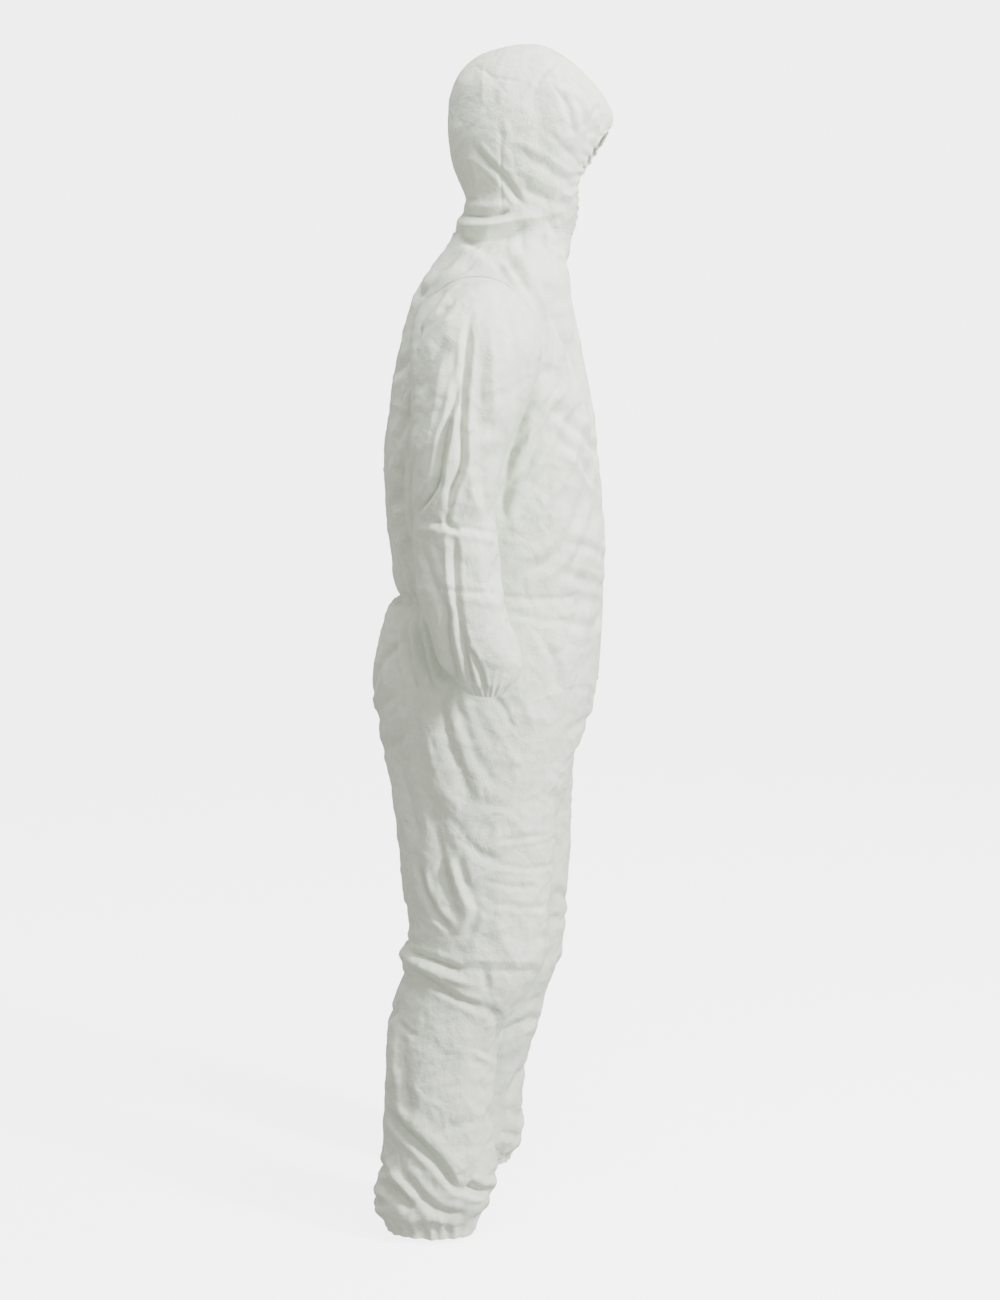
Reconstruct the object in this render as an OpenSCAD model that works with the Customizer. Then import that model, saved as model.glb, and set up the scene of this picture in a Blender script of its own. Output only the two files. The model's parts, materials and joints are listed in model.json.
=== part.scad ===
// Hooded protective coverall, standing as worn, +Z up, front towards -Y,
// the wearer's left towards +X, lowest hem at z = 0. Millimetres.

/* [Fabric] */
// Thickness of the draped fabric shell
wall = 1.6; // [1.2:0.2:2.4]
// Sides of the outline of a sleeve or a leg
limb_sides = 20; // [16:2:28]

/* [Zip] */
// Height of the zip's top stop
zip_top = 1440; // [1420:5:1440]
// Height of the zip's bottom stop
zip_bottom = 840; // [820:10:900]
// Width of the storm flap
flap_w = 48; // [40:1:60]
// Length of the pull tab
tab_len = 26; // [18:1:32]

/* [Trim] */
// Radius of a serged seam
seam_r = 1.4; // [1:0.1:1.8]
// Width of an elastic band
elastic_w = 8; // [6:1:10]
// Radius of the rolled hem round the face
face_hem_r = 3.5; // [2.5:0.5:4.5]

/* [Hidden] */
$fn = 32;
seam_gap = 3.6;         // room left between two panels for their seam
row_y = -11;            // moves the rows back to front, so that the origin is in the middle

// The zip runs along an arc about a far axis parallel to X
zip_r = 1750;
zip_y = 1597;           // as the rows count it, before row_y
zip_z = 980;
coil_gap = 0.8;
coil_w = 2.6;
coil_h = 2;
tape_w = 13;
tape_h = 0.6;
flap_in = 6;            // flap's inner face, out from the zip's arc
flap_t = 1.5;
slider_z = zip_top - 16;
slider_len = 12;
pin_out = 4.3;          // pull tab's pin, out from the zip's arc
pin_r = 0.8;
pin_play = 0.05;

// Armhole circle, in a plane square to X
arm_y = 30;
arm_z = 1325;
arm_r = 95;
arm_play = 2;
arm_x = 181.8;

function front(z) = zip_y - sqrt(pow(zip_r + flap_in - 1, 2) - pow(z - zip_z, 2));

// A row is [side 0 x, z, side 1 x, z, front y, back y, roundness]
function level(x0, x1, z, f, b, k = 0.84) = [x0, z, x1, z, f, b, k];
function trunk(z, w, f, b, k = 0.84) = level(-w, w, z, f, b, k);
function leg(c, w, z, f, b) = level(c - w, c + w, z, f, b, 0.9);

torso_rows = [
  trunk(1494, 86, -110, 66), trunk(1476, 92, -107, 73),
  trunk(1456, 120, -105, 88), trunk(1441, 142, front(1441), 100),
  trunk(1426, 166, front(1426), 112), trunk(1400, 177, front(1400), 124),
  trunk(1345, 178, front(1345), 144), trunk(1286, 178, front(1286), 155),
  trunk(1227, 178, front(1227), 163), trunk(1167, 178, front(1167), 169),
  trunk(1107, 177, front(1107), 168), trunk(1047, 176, front(1047), 163),
  trunk(987, 173, front(987), 156), trunk(957, 170, front(957), 151)];

hip_rows = [
  trunk(955, 170, front(955), 151), trunk(930, 176, front(930), 164),
  trunk(895, 183, front(895), 178), trunk(860, 188, front(860), 185),
  trunk(838, 190, front(838), 187), trunk(803, 192, -147, 187),
  trunk(768, 194, -136, 181)];

leg_r_rows = [
  leg(-99, 94, 766, -128, 178), leg(-100, 93, 740, -116, 172),
  leg(-102, 92, 715, -104, 167), leg(-104, 90, 690, -95, 161)];
thigh_r_rows = [
  leg(-104, 90, 688, -94, 161), leg(-108, 87, 640, -86, 153),
  leg(-112, 84, 580, -82, 147), leg(-115, 81, 540, -79, 141),
  leg(-117, 80, 511, -79, 137)];
knee_r_rows = [
  leg(-117, 80, 509, -79, 137), leg(-119, 78, 465, -77, 131),
  leg(-120, 77, 434, -74, 137), leg(-121, 76, 404, -61, 137),
  leg(-122, 76, 366, -38, 149)];
shin_r_rows = [
  leg(-122, 76, 364, -37, 150), leg(-124, 75, 313, -7, 164),
  leg(-125, 74, 282, 1, 166), leg(-127, 72, 220, 7, 168),
  leg(-128, 71, 160, 10, 172), leg(-129, 71, 100, 9, 173),
  leg(-130, 70, 60, 12, 182), leg(-130, 66, 36, 20, 184)];
hem_r_rows = [
  leg(-130, 65, 34, 22, 184), leg(-130, 58, 20, 32, 176),
  leg(-130, 56, 0, 36, 168)];

leg_l_rows = [
  leg(99, 94, 766, -130, 176), leg(100, 93, 740, -126, 168),
  leg(102, 92, 715, -123, 160), leg(104, 90, 690, -122, 152)];
thigh_l_rows = [
  leg(104, 90, 688, -122, 151), leg(108, 87, 640, -119, 141),
  leg(112, 84, 580, -118, 130), leg(115, 81, 540, -117, 120),
  leg(117, 80, 511, -116, 114)];
knee_l_rows = [
  leg(117, 80, 509, -116, 113), leg(119, 78, 465, -112, 106),
  leg(120, 77, 434, -110, 104), leg(121, 76, 404, -108, 103),
  leg(122, 76, 366, -104, 104)];
shin_l_rows = [
  leg(122, 76, 364, -103, 104), leg(124, 75, 313, -84, 108),
  leg(125, 74, 282, -73, 111), leg(127, 72, 220, -56, 116),
  leg(128, 71, 160, -44, 122), leg(129, 71, 100, -38, 126),
  leg(130, 70, 60, -41, 130), leg(130, 66, 36, -34, 128)];
hem_l_rows = [
  leg(130, 65, 34, -32, 127), leg(130, 58, 20, -24, 118),
  leg(130, 56, 0, -18, 112)];

upper_rows = [
  [-156, 1420, -156, 1230, -65, 125, 1], [-185, 1420, -185, 1230, -65, 125, 1],
  [-214, 1413, -186, 1227, -64, 125, 1], [-246, 1397, -187, 1223, -61, 124, 1],
  [-274, 1368, -188, 1217, -56, 122, 0.97], [-297, 1325, -189, 1206, -47, 121, 0.94],
  [-311, 1275, -190, 1190, -36, 120, 0.92], [-318, 1220, -190, 1168, -18, 119, 0.9],
  [-320, 1165, -190, 1148, -6, 118, 0.9], [-320, 1128, -190, 1128, 1, 117, 0.9]];
elbow_rows = [
  level(-320, -190, 1126, 1, 117, 0.9), level(-320, -190, 1104, 3, 117, 0.9),
  level(-319, -190, 1082, 4, 117, 0.9), level(-318, -190, 1060, 3, 116, 0.9),
  level(-318, -191, 1038, 1, 115, 0.9)];
lower_rows = [
  level(-318, -191, 1036, 1, 115, 0.9), level(-314, -192, 979, -3, 110, 0.9),
  level(-308, -197, 924, -20, 92, 0.9), level(-299, -206, 886, -31, 79, 0.9),
  level(-291, -214, 864, -29, 66, 0.9)];
cuff_rows = [
  level(-291, -214, 862, -29, 65, 0.9), level(-288, -218, 852, -25, 58, 0.9),
  level(-288, -218, 838, -24, 55, 0.9)];

// Hood rows, each with the half-width of the face opening at that height
hood_rows = [
  trunk(1773, 6, -42, -28), trunk(1768, 34, -74, -2), trunk(1756, 58, -96, 30),
  trunk(1738, 78, -122, 52), trunk(1716, 92, -144, 66), trunk(1692, 100, -160, 73),
  trunk(1664, 104, -163, 74), trunk(1635, 105, -157, 74), trunk(1606, 103, -144, 68),
  trunk(1578, 98, -136, 59), trunk(1549, 92, -130, 52), trunk(1522, 88, -119, 58),
  trunk(1501, 86, -112, 64)];
face_w = [0.4, 1.8, 1.8, 1.8, 1.8, 1.8, 24, 52, 64, 66, 56, 30, 9];

// Angle round a row at which the front half reaches the half-width x
function front_angle(r, x) = 270 - asin(pow(x / ((r[2] - r[0]) / 2), 1 / r[6]));
function back_angle(r, x) = 90 + asin(pow(x / ((r[2] - r[0]) / 2), 1 / r[6]));

function soft(v, k) = sign(v) * pow(abs(v), k);
function at(r, a, t = 0) =
  let (hx = (r[2] - r[0]) / 2, hz = (r[3] - r[1]) / 2, h = norm([hx, hz]),
       hy = (r[5] - r[4]) / 2, s = (h - t) / h * soft(cos(a), r[6]))
  [(r[0] + r[2]) / 2 + hx * s, row_y + (r[4] + r[5]) / 2 + (hy - t) * soft(sin(a), r[6]),
   (r[1] + r[3]) / 2 + hz * s];

function two(a, b, c, d) = [[a, b, c], [a, c, d]];

// A shell of fabric between the rows, from angle lo[i] to hi[i] on row i
module panel(rows, lo, hi, sides = limb_sides, inset = 0, t = wall) {
  m = len(rows);
  w = sides + 1;
  function o(i, j) = i * w + j;
  function q(i, j) = (m + i) * w + j;
  function spot(i, j, d) = at(rows[i], lo[i] + (hi[i] - lo[i]) * j / sides, d);
  points = [for (d = [inset, inset + t]) for (i = [0:m - 1]) for (j = [0:sides])
    spot(i, j, d)];
  faces = [
    for (i = [0:m - 2]) for (j = [0:sides - 1]) each concat(
      two(o(i, j), o(i, j + 1), o(i + 1, j + 1), o(i + 1, j)),
      two(q(i, j), q(i + 1, j), q(i + 1, j + 1), q(i, j + 1))),
    for (j = [0:sides - 1]) each concat(
      two(o(0, j), q(0, j), q(0, j + 1), o(0, j + 1)),
      two(o(m - 1, j), o(m - 1, j + 1), q(m - 1, j + 1), q(m - 1, j))),
    for (i = [0:m - 2]) each concat(
      two(o(i, 0), o(i + 1, 0), q(i + 1, 0), q(i, 0)),
      two(o(i, sides), q(i, sides), q(i + 1, sides), o(i + 1, sides)))];
  polyhedron(points, faces);
}

// A closed tube of fabric between the rows
module tube(rows, sides = limb_sides, inset = 0, t = wall) {
  m = len(rows);
  function o(i, j) = i * sides + j % sides;
  function q(i, j) = (m + i) * sides + j % sides;
  points = [for (d = [inset, inset + t]) for (i = [0:m - 1]) for (j = [0:sides - 1])
    at(rows[i], 360 * j / sides, d)];
  faces = [
    for (i = [0:m - 2]) for (j = [0:sides - 1]) each concat(
      two(o(i, j), o(i, j + 1), o(i + 1, j + 1), o(i + 1, j)),
      two(q(i, j), q(i + 1, j), q(i + 1, j + 1), q(i, j + 1))),
    for (j = [0:sides - 1]) each concat(
      two(o(0, j), q(0, j), q(0, j + 1), o(0, j + 1)),
      two(o(m - 1, j), o(m - 1, j + 1), q(m - 1, j + 1), q(m - 1, j)))];
  polyhedron(points, faces);
}

// A round bead of radius r swept along points; side is a vector that is never
// parallel to the path
module bead(path, r, side, sides = 6) {
  n = len(path);
  function unit(v) = v / norm(v);
  function dir(i) = unit(path[min(i + 1, n - 1)] - path[max(i - 1, 0)]);
  function spot(i, j) = let (u = unit(cross(dir(i), side)), v = cross(dir(i), u))
    path[i] + r * (cos(360 * j / sides) * u + sin(360 * j / sides) * v);
  function o(i, j) = i * sides + j % sides;
  points = [for (i = [0:n - 1]) for (j = [0:sides - 1]) spot(i, j)];
  faces = [
    for (i = [0:n - 2]) for (j = [0:sides - 1]) each
      two(o(i, j), o(i + 1, j), o(i + 1, j + 1), o(i, j + 1)),
    for (j = [1:sides - 2]) [o(0, 0), o(0, j), o(0, j + 1)],
    for (j = [1:sides - 2]) [o(n - 1, 0), o(n - 1, j + 1), o(n - 1, j)]];
  polyhedron(points, faces);
}

// Degrees on row r that take up gap millimetres at angle 0 or 180
function gap_deg(r, gap) = asin(pow(gap / ((r[5] - r[4]) / 2), 1 / r[6]));

// A limb's tube with a slot for its seam on the inner side, at angle seam
module limb(rows, seam) {
  gap = [for (r = rows) gap_deg(r, seam_gap / 2)];
  panel(rows, [for (g = gap) seam + g], [for (g = gap) seam + 360 - g]);
}
module limb_seam(rows, seam) {
  bead([for (r = rows) at(r, seam, wall / 2)], seam_r, [0, 1, 0]);
}

// A piece of the zip: a rectangle at radius r0 to r1 and x0 to x1, swept
// from height za down to zb
module arc(r0, r1, x0, x1, za, zb) {
  a = asin((za - zip_z) / zip_r);
  b = asin((zb - zip_z) / zip_r);
  translate([0, zip_y + row_y, zip_z]) rotate([0, 90, 0]) rotate([0, 0, -90 - a])
    rotate_extrude(angle = a - b, $fn = 720)
      translate([r0, x0]) square([r1 - r0, x1 - x0]);
}

module torso_half() {
  difference() {
    panel(torso_rows, [for (r = torso_rows) back_angle(r, seam_gap / 2)],
      [for (r = torso_rows) front_angle(r, r[1] > zip_top ? seam_gap / 2 : tape_w + 2)],
      sides = 20);
    translate([-150, arm_y + row_y, arm_z]) rotate([0, -90, 0])
      cylinder(r = arm_r + arm_play, h = 60, $fn = 96);
  }
}
module hip_half() {
  panel(hip_rows, [for (r = hip_rows) back_angle(r, seam_gap / 2)],
    [for (r = hip_rows) front_angle(r, r[1] > zip_bottom - 5 ? tape_w + 2 : seam_gap / 2)],
    sides = 20);
}
module hood_half() {
  panel(hood_rows, [for (r = hood_rows) back_angle(r, r[1] > 1770 ? 0.4 : seam_gap / 2)],
    [for (i = [0:len(hood_rows) - 1]) front_angle(hood_rows[i], face_w[i])],
    sides = 16);
}
module armhole_ring() {
  translate([-arm_x, arm_y + row_y, arm_z]) rotate([0, 90, 0])
    rotate_extrude($fn = 96) translate([arm_r + 3.4, 0]) circle(r = seam_r, $fn = 16);
}

module torso_right_panel() color("#CED0CA") torso_half();
module torso_left_panel() color("#CED0CA") mirror([1, 0, 0]) torso_half();
module hip_right_panel() color("#CED0CA") hip_half();
module hip_left_panel() color("#CED0CA") mirror([1, 0, 0]) hip_half();
module hood_right_panel() color("#CED0CA") hood_half();
module hood_left_panel() color("#CED0CA") mirror([1, 0, 0]) hood_half();

module hood_centre_seam() color("#E2E4DE")
  bead(concat([for (i = [5:-1:1]) at(hood_rows[i], 270, wall / 2)],
    [for (i = [1:len(hood_rows) - 1]) at(hood_rows[i], 90, wall / 2)]),
    seam_r, [1, 0, 0]);

// The edge of the face opening, moved out past the panel's edge by gap
function face_edge(i, gap) = let (r = hood_rows[i],
  p = at(r, front_angle(r, max(face_w[i] - gap, 0.5)), wall / 2))
  [p[0], p[1] - 1, p[2] - (i == 6 ? 6 : 0)];
function face_path(gap, n = len(hood_rows) - 1) = concat(
  [for (i = [n - 1:-1:6]) face_edge(i, gap)],
  [for (i = [6:n - 1]) let (p = face_edge(i, gap)) [-p[0], p[1], p[2]]]);

module hood_face_hem() color("#DADCD6") bead(face_path(face_hem_r + 1), face_hem_r, [0.2, 1, 0.3], 8);
module hood_face_elastic() color("#EEF0EC")
  translate([0, 7, 0]) bead(face_path(face_hem_r + 5), 1.5, [0.2, 1, 0.3]);

module neck_seam() color("#E2E4DE")
  bead([for (j = [0:28]) at(trunk(1497.7, 86, -110, 66), -86 + 352 * j / 28, wall / 2)],
    seam_r, [0, 0, 1]);
module centre_back_seam() color("#E2E4DE")
  bead([for (r = concat(torso_rows, hip_rows)) at(r, 90, wall / 2)], seam_r, [1, 0, 0]);
module centre_front_seam() color("#E2E4DE")
  bead([for (i = [5, 6]) at(hip_rows[i], 270, wall / 2)], seam_r, [1, 0, 0]);
module waist_elastic() color("#EEF0EC")
  panel([trunk(960 + elastic_w, 171, front(962), 152), trunk(960, 170, front(960), 151)],
    [8, 8], [172, 172], sides = 20, inset = wall + 0.6, t = 1.2);

module armhole_seam_right() color("#E2E4DE") armhole_ring();
module armhole_seam_left() color("#E2E4DE") mirror([1, 0, 0]) armhole_ring();

module sleeve_upper_right() color("#CED0CA") tube(upper_rows);
module sleeve_upper_left() color("#CED0CA") mirror([1, 0, 0]) sleeve_upper_right();
module elbow_fold_right() color("#CED0CA") tube(elbow_rows);
module elbow_fold_left() color("#CED0CA") mirror([1, 0, 0]) elbow_fold_right();
module sleeve_lower_right() color("#CED0CA") limb(lower_rows, 0);
module sleeve_lower_left() color("#CED0CA") mirror([1, 0, 0]) sleeve_lower_right();
module sleeve_seam_right() color("#E2E4DE") limb_seam(lower_rows, 0);
module sleeve_seam_left() color("#E2E4DE") mirror([1, 0, 0]) sleeve_seam_right();
module cuff_hem_right() color("#DADCD6") tube(cuff_rows, t = 2);
module cuff_hem_left() color("#DADCD6") mirror([1, 0, 0]) cuff_hem_right();
module wrist_elastic_right() color("#EEF0EC")
  tube([level(-288, -218, 842 + elastic_w, -25, 57, 0.9),
    level(-288, -218, 842, -24, 55.5, 0.9)], inset = 2.8, t = 1.2);
module wrist_elastic_left() color("#EEF0EC") mirror([1, 0, 0]) wrist_elastic_right();

module hip_fold_right() color("#CED0CA") tube(leg_r_rows);
module hip_fold_left() color("#CED0CA") tube(leg_l_rows);
module thigh_right_panel() color("#CED0CA") limb(thigh_r_rows, 0);
module thigh_left_panel() color("#CED0CA") limb(thigh_l_rows, 180);
module thigh_inseam_right() color("#E2E4DE") limb_seam(thigh_r_rows, 0);
module thigh_inseam_left() color("#E2E4DE") limb_seam(thigh_l_rows, 180);
module knee_fold_right() color("#CED0CA") tube(knee_r_rows);
module knee_fold_left() color("#CED0CA") tube(knee_l_rows);
module shin_right_panel() color("#CED0CA") limb(shin_r_rows, 0);
module shin_left_panel() color("#CED0CA") limb(shin_l_rows, 180);
module shin_inseam_right() color("#E2E4DE") limb_seam(shin_r_rows, 0);
module shin_inseam_left() color("#E2E4DE") limb_seam(shin_l_rows, 180);
module ankle_hem_right() color("#DADCD6") tube(hem_r_rows, t = 2);
module ankle_hem_left() color("#DADCD6") tube(hem_l_rows, t = 2);
module ankle_elastic_right() color("#EEF0EC")
  tube([leg(-130, 57, 10 + elastic_w, 33, 174), leg(-130, 56, 10, 35, 170)],
    inset = 2.8, t = 1.2);
module ankle_elastic_left() color("#EEF0EC")
  tube([leg(130, 57, 10 + elastic_w, -23, 116), leg(130, 56, 10, -20, 113)],
    inset = 2.8, t = 1.2);

module tape() {
  arc(zip_r - tape_h / 2, zip_r + tape_h / 2, -tape_w, -coil_gap - coil_w - 0.2,
    zip_top + 5, zip_bottom - 5);
}
module coil() {
  arc(zip_r - coil_h / 2, zip_r + coil_h / 2, -coil_gap - coil_w, -coil_gap,
    zip_top - 1, zip_bottom + 1);
}
module zip_tape_right() color("#E6E8E4") tape();
module zip_tape_left() color("#E6E8E4") mirror([1, 0, 0]) tape();
module zip_coil_right() color("#F0F1EE") coil();
module zip_coil_left() color("#F0F1EE") mirror([1, 0, 0]) coil();
module zip_top_stops() color("#F0F1EE") {
  arc(zip_r - 1.4, zip_r + 1.4, -3.4, -0.6, zip_top + 4, zip_top);
  arc(zip_r - 1.4, zip_r + 1.4, 0.6, 3.4, zip_top + 4, zip_top);
}
module zip_bottom_stop() color("#F0F1EE")
  arc(zip_r - 1.6, zip_r + 1.6, -3.4, 3.4, zip_bottom, zip_bottom - 5);

module storm_flap() color("#D4D6D0")
  arc(zip_r + flap_in, zip_r + flap_in + flap_t, -flap_w / 2, flap_w / 2,
    zip_top - 1, zip_bottom - 12);

// The pin of the pull tab, where the slider stands
pin_a = asin((slider_z - zip_z) / zip_r);
pin_pos = [0, zip_y + row_y - (zip_r + pin_out) * cos(pin_a),
  zip_z + (zip_r + pin_out) * sin(pin_a)];

module at_slider() translate(pin_pos) rotate([-pin_a, 0, 0]) children();

module zip_slider() color("#F0F1EE") difference() {
  union() {
    arc(zip_r + 1.5, zip_r + 2.8, -4.6, 4.6, slider_z + slider_len / 2,
      slider_z - slider_len / 2);
    arc(zip_r - 2.8, zip_r - 1.5, -4.6, 4.6, slider_z + slider_len / 2,
      slider_z - slider_len / 2);
    arc(zip_r - 2, zip_r + 2, -0.5, 0.5, slider_z + slider_len / 2, slider_z + 1);
    at_slider() for (s = [-1, 1]) translate([s * 2.9 - 0.7, 0, 0]) {
      rotate([0, 90, 0]) cylinder(r = 1.4, h = 1.4);
      translate([0, 0, -1.4]) cube([1.4, 2, 2.8]);
    }
  }
  at_slider() translate([-6, 0, 0]) rotate([0, 90, 0])
    cylinder(r = pin_r + pin_play, h = 12);
}

module zip_pull() color("#F0F1EE") at_slider() {
  translate([-3.9, 0, 0]) rotate([0, 90, 0]) cylinder(r = pin_r, h = 7.8);
  translate([-1.9, -pin_r, -5]) cube([3.8, 2 * pin_r - 0.4, 5]);
  translate([0, -pin_r, 0]) difference() {
    union() {
      translate([-3.6, 0, -tab_len]) cube([7.2, 1.2, tab_len - 4]);
      translate([0, 0, -tab_len]) rotate([-90, 0, 0]) cylinder(r = 3.6, h = 1.2);
    }
    translate([0, -1, -tab_len]) rotate([-90, 0, 0]) cylinder(r = 1.6, h = 3.2);
  }
}

torso_right_panel();
torso_left_panel();
hip_right_panel();
hip_left_panel();
hood_right_panel();
hood_left_panel();
hood_centre_seam();
hood_face_hem();
hood_face_elastic();
neck_seam();
centre_back_seam();
centre_front_seam();
waist_elastic();
armhole_seam_right();
armhole_seam_left();
sleeve_upper_right();
sleeve_upper_left();
elbow_fold_right();
elbow_fold_left();
sleeve_lower_right();
sleeve_lower_left();
sleeve_seam_right();
sleeve_seam_left();
cuff_hem_right();
cuff_hem_left();
wrist_elastic_right();
wrist_elastic_left();
hip_fold_right();
hip_fold_left();
thigh_right_panel();
thigh_left_panel();
thigh_inseam_right();
thigh_inseam_left();
knee_fold_right();
knee_fold_left();
shin_right_panel();
shin_left_panel();
shin_inseam_right();
shin_inseam_left();
ankle_hem_right();
ankle_hem_left();
ankle_elastic_right();
ankle_elastic_left();
zip_tape_right();
zip_tape_left();
zip_coil_right();
zip_coil_left();
zip_top_stops();
zip_bottom_stop();
storm_flap();
zip_slider();
zip_pull();
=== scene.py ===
import bpy
import json
import math
import numpy as np
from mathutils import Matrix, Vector


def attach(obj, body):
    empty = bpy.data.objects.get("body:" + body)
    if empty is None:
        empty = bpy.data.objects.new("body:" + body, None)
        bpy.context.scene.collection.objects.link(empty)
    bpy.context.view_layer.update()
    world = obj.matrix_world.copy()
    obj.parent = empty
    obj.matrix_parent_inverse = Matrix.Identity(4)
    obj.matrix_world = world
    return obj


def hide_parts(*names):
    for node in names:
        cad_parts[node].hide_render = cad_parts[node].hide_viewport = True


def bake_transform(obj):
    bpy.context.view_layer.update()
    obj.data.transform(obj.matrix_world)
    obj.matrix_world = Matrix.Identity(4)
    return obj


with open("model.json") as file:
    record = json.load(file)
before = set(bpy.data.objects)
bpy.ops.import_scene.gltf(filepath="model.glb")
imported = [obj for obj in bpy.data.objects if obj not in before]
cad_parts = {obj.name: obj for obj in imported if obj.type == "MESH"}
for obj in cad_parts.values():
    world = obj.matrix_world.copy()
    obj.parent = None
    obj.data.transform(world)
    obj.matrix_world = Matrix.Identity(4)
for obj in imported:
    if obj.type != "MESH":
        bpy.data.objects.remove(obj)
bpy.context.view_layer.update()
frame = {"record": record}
MM = 0.001
FLOOR_GLOW, BACK_GLOW = 4.5, 5.0

# ---------------------------------------------------------------- shape tables
# Heights, then front, back and half-width, in millimetres, in the row frame.
TRUNK = np.array([
    # z, front y, back y, half-width
    (1510, -114, 62, 84), (1498, -111, 66, 86), (1476, -108, 76, 93), (1456, -107, 91, 120),
    (1441, -107, 103, 143), (1426, -107, 114, 165), (1400, -110, 126, 176), (1345, -123, 144, 178),
    (1286, -134, 155, 178), (1227, -145, 163, 178), (1167, -153, 169, 178), (1107, -158, 168, 177),
    (1047, -163, 163, 176), (1010, -163, 158, 174), (987, -161, 156, 172), (972, -159, 152, 171),
    (957, -157, 151, 170), (945, -158, 160, 173), (930, -158, 169, 177), (895, -156, 179, 183),
    (860, -152, 186, 188), (834, -149, 189, 190), (803, -145, 188, 192), (765, -137, 182, 194),
    (720, -126, 175, 194), (680, -120, 169, 194), (600, -112, 158, 194)], float)
# z, front y, back y, centre x, half-width, each for the right leg
LEG_R = np.array([
    (800, -128, 187, -98, 95), (765, -110, 178, -99, 94), (740, -104, 173, -100, 93),
    (704, -94, 165, -103, 91), (645, -86, 154, -108, 87), (585, -82, 148, -112, 84),
    (525, -79, 139, -116, 81), (465, -77, 132, -119, 78), (442, -75, 136, -120, 77),
    (428, -73, 146, -120, 77), (416, -68, 146, -121, 76), (404, -62, 138, -121, 76),
    (374, -42, 147, -122, 76), (343, -22, 157, -123, 75), (313, -7, 164, -124, 75),
    (282, 1, 166, -125, 74), (251, 4, 168, -126, 73), (220, 7, 168, -127, 72),
    (158, 10, 173, -128, 71), (110, 8, 174, -129, 71), (80, 8, 178, -130, 71),
    (60, 11, 185, -130, 71), (40, 18, 188, -130, 68), (26, 28, 182, -130, 61), (14, 33, 172, -130, 57),
    (0, 36, 169, -130, 56)], float)
LEG_L = np.array([
    (800, -138, 184, 98, 95), (765, -131, 175, 99, 94), (740, -127, 168, 100, 93),
    (704, -124, 157, 103, 91), (645, -120, 142, 108, 87), (585, -118, 130, 112, 84),
    (525, -116, 117, 116, 81), (465, -111, 106, 119, 78), (442, -110, 108, 120, 77),
    (428, -109, 112, 120, 77), (404, -107, 105, 121, 76), (374, -104, 103, 122, 76),
    (343, -97, 105, 123, 75), (313, -84, 108, 124, 75), (282, -73, 110, 125, 74),
    (251, -66, 113, 126, 73), (220, -56, 116, 127, 72), (158, -45, 121, 128, 71),
    (110, -39, 125, 129, 71), (80, -39, 130, 130, 71), (60, -42, 132, 130, 71),
    (40, -36, 128, 130, 67), (26, -28, 122, 130, 61), (14, -20, 116, 130, 57),
    (0, -17, 112, 130, 56)], float)
# outer x, z; inner x, z; front y, back y; roundness, for the right sleeve
SLEEVE = np.array([
    (-160, 1424, -160, 1232, -58, 120, 1.0), (-186, 1419, -182, 1228, -60, 123, 1.0),
    (-214, 1410, -186, 1225, -60, 124, 1.0), (-246, 1394, -188, 1220, -58, 123, 0.98),
    (-274, 1366, -189, 1212, -52, 121, 0.96), (-296, 1325, -189, 1200, -43, 120, 0.94),
    (-309, 1275, -190, 1184, -31, 119, 0.93), (-316, 1220, -190, 1164, -16, 118, 0.92),
    (-318, 1165, -190, 1146, -5, 117, 0.92), (-318, 1127, -190, 1127, 1, 117, 0.92),
    (-318, 1104, -190, 1104, 3, 117, 0.92), (-316, 1082, -191, 1082, 4, 116, 0.92),
    (-317, 1060, -191, 1060, 3, 116, 0.92), (-316, 1034, -192, 1034, 1, 115, 0.92),
    (-313, 979, -193, 979, -4, 110, 0.92), (-307, 924, -197, 924, -21, 92, 0.92),
    (-301, 895, -203, 895, -31, 82, 0.92), (-294, 876, -210, 876, -33, 72, 0.92),
    (-290, 864, -215, 864, -29, 62, 0.94), (-286, 854, -219, 854, -24, 55, 0.96),
    (-281, 846, -224, 846, -15, 46, 1.0), (-276, 839, -229, 839, -8, 40, 1.0)], float)
# z, front y, back y, half-width, half-width of the face opening
HOOD = np.array([
    (1773, -38, -36, 1, 0), (1770, -66, -12, 26, 0), (1764, -84, 12, 43, 0), (1754, -100, 33, 60, 0),
    (1738, -121, 51, 77, 0), (1716, -143, 65, 91, 0), (1692, -160, 72, 99, 0),
    (1676, -167, 74, 102, 0), (1662, -170, 75, 104, 18), (1650, -168, 75, 105, 38),
    (1635, -163, 74, 105, 52), (1606, -150, 69, 102, 64), (1578, -140, 59, 97, 67),
    (1560, -134, 50, 92, 62), (1549, -131, 47, 89, 57), (1535, -127, 52, 88, 46),
    (1522, -121, 59, 88, 32), (1510, -116, 62, 86, 18), (1499, -112, 65, 86, 4)], float)
CROTCH_Z = 765
WAIST_Z = 957
HOOD_TOP = (0, -37, 1773)
LEG_FROM, LEG_OWN = CROTCH_Z + 25, 600    # the trunk's shape turns into the leg's between these heights
CROTCH_SAG = 12
SPLIT_Z, HEM_Z, ELBOW_Z, CUFF_Z = 570, 34, 1150, 862    # where the cloth's pieces end
WRIST_Z, ANKLE_Z, FACE_Z = 846, 16, 1585                # middles of the elastics
ARM_Y, ARM_Z = 31, 1327                                 # the armhole's centre
ZIP_TOP, ZIP_BOTTOM = 1440, 838
ZIP_Y, ZIP_Z, ZIP_R = 1597, 980, 1750                   # centre and radius of the zip's arc
LENS, SENSOR = 49.72583, 36                             # the camera's, mm


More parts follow.
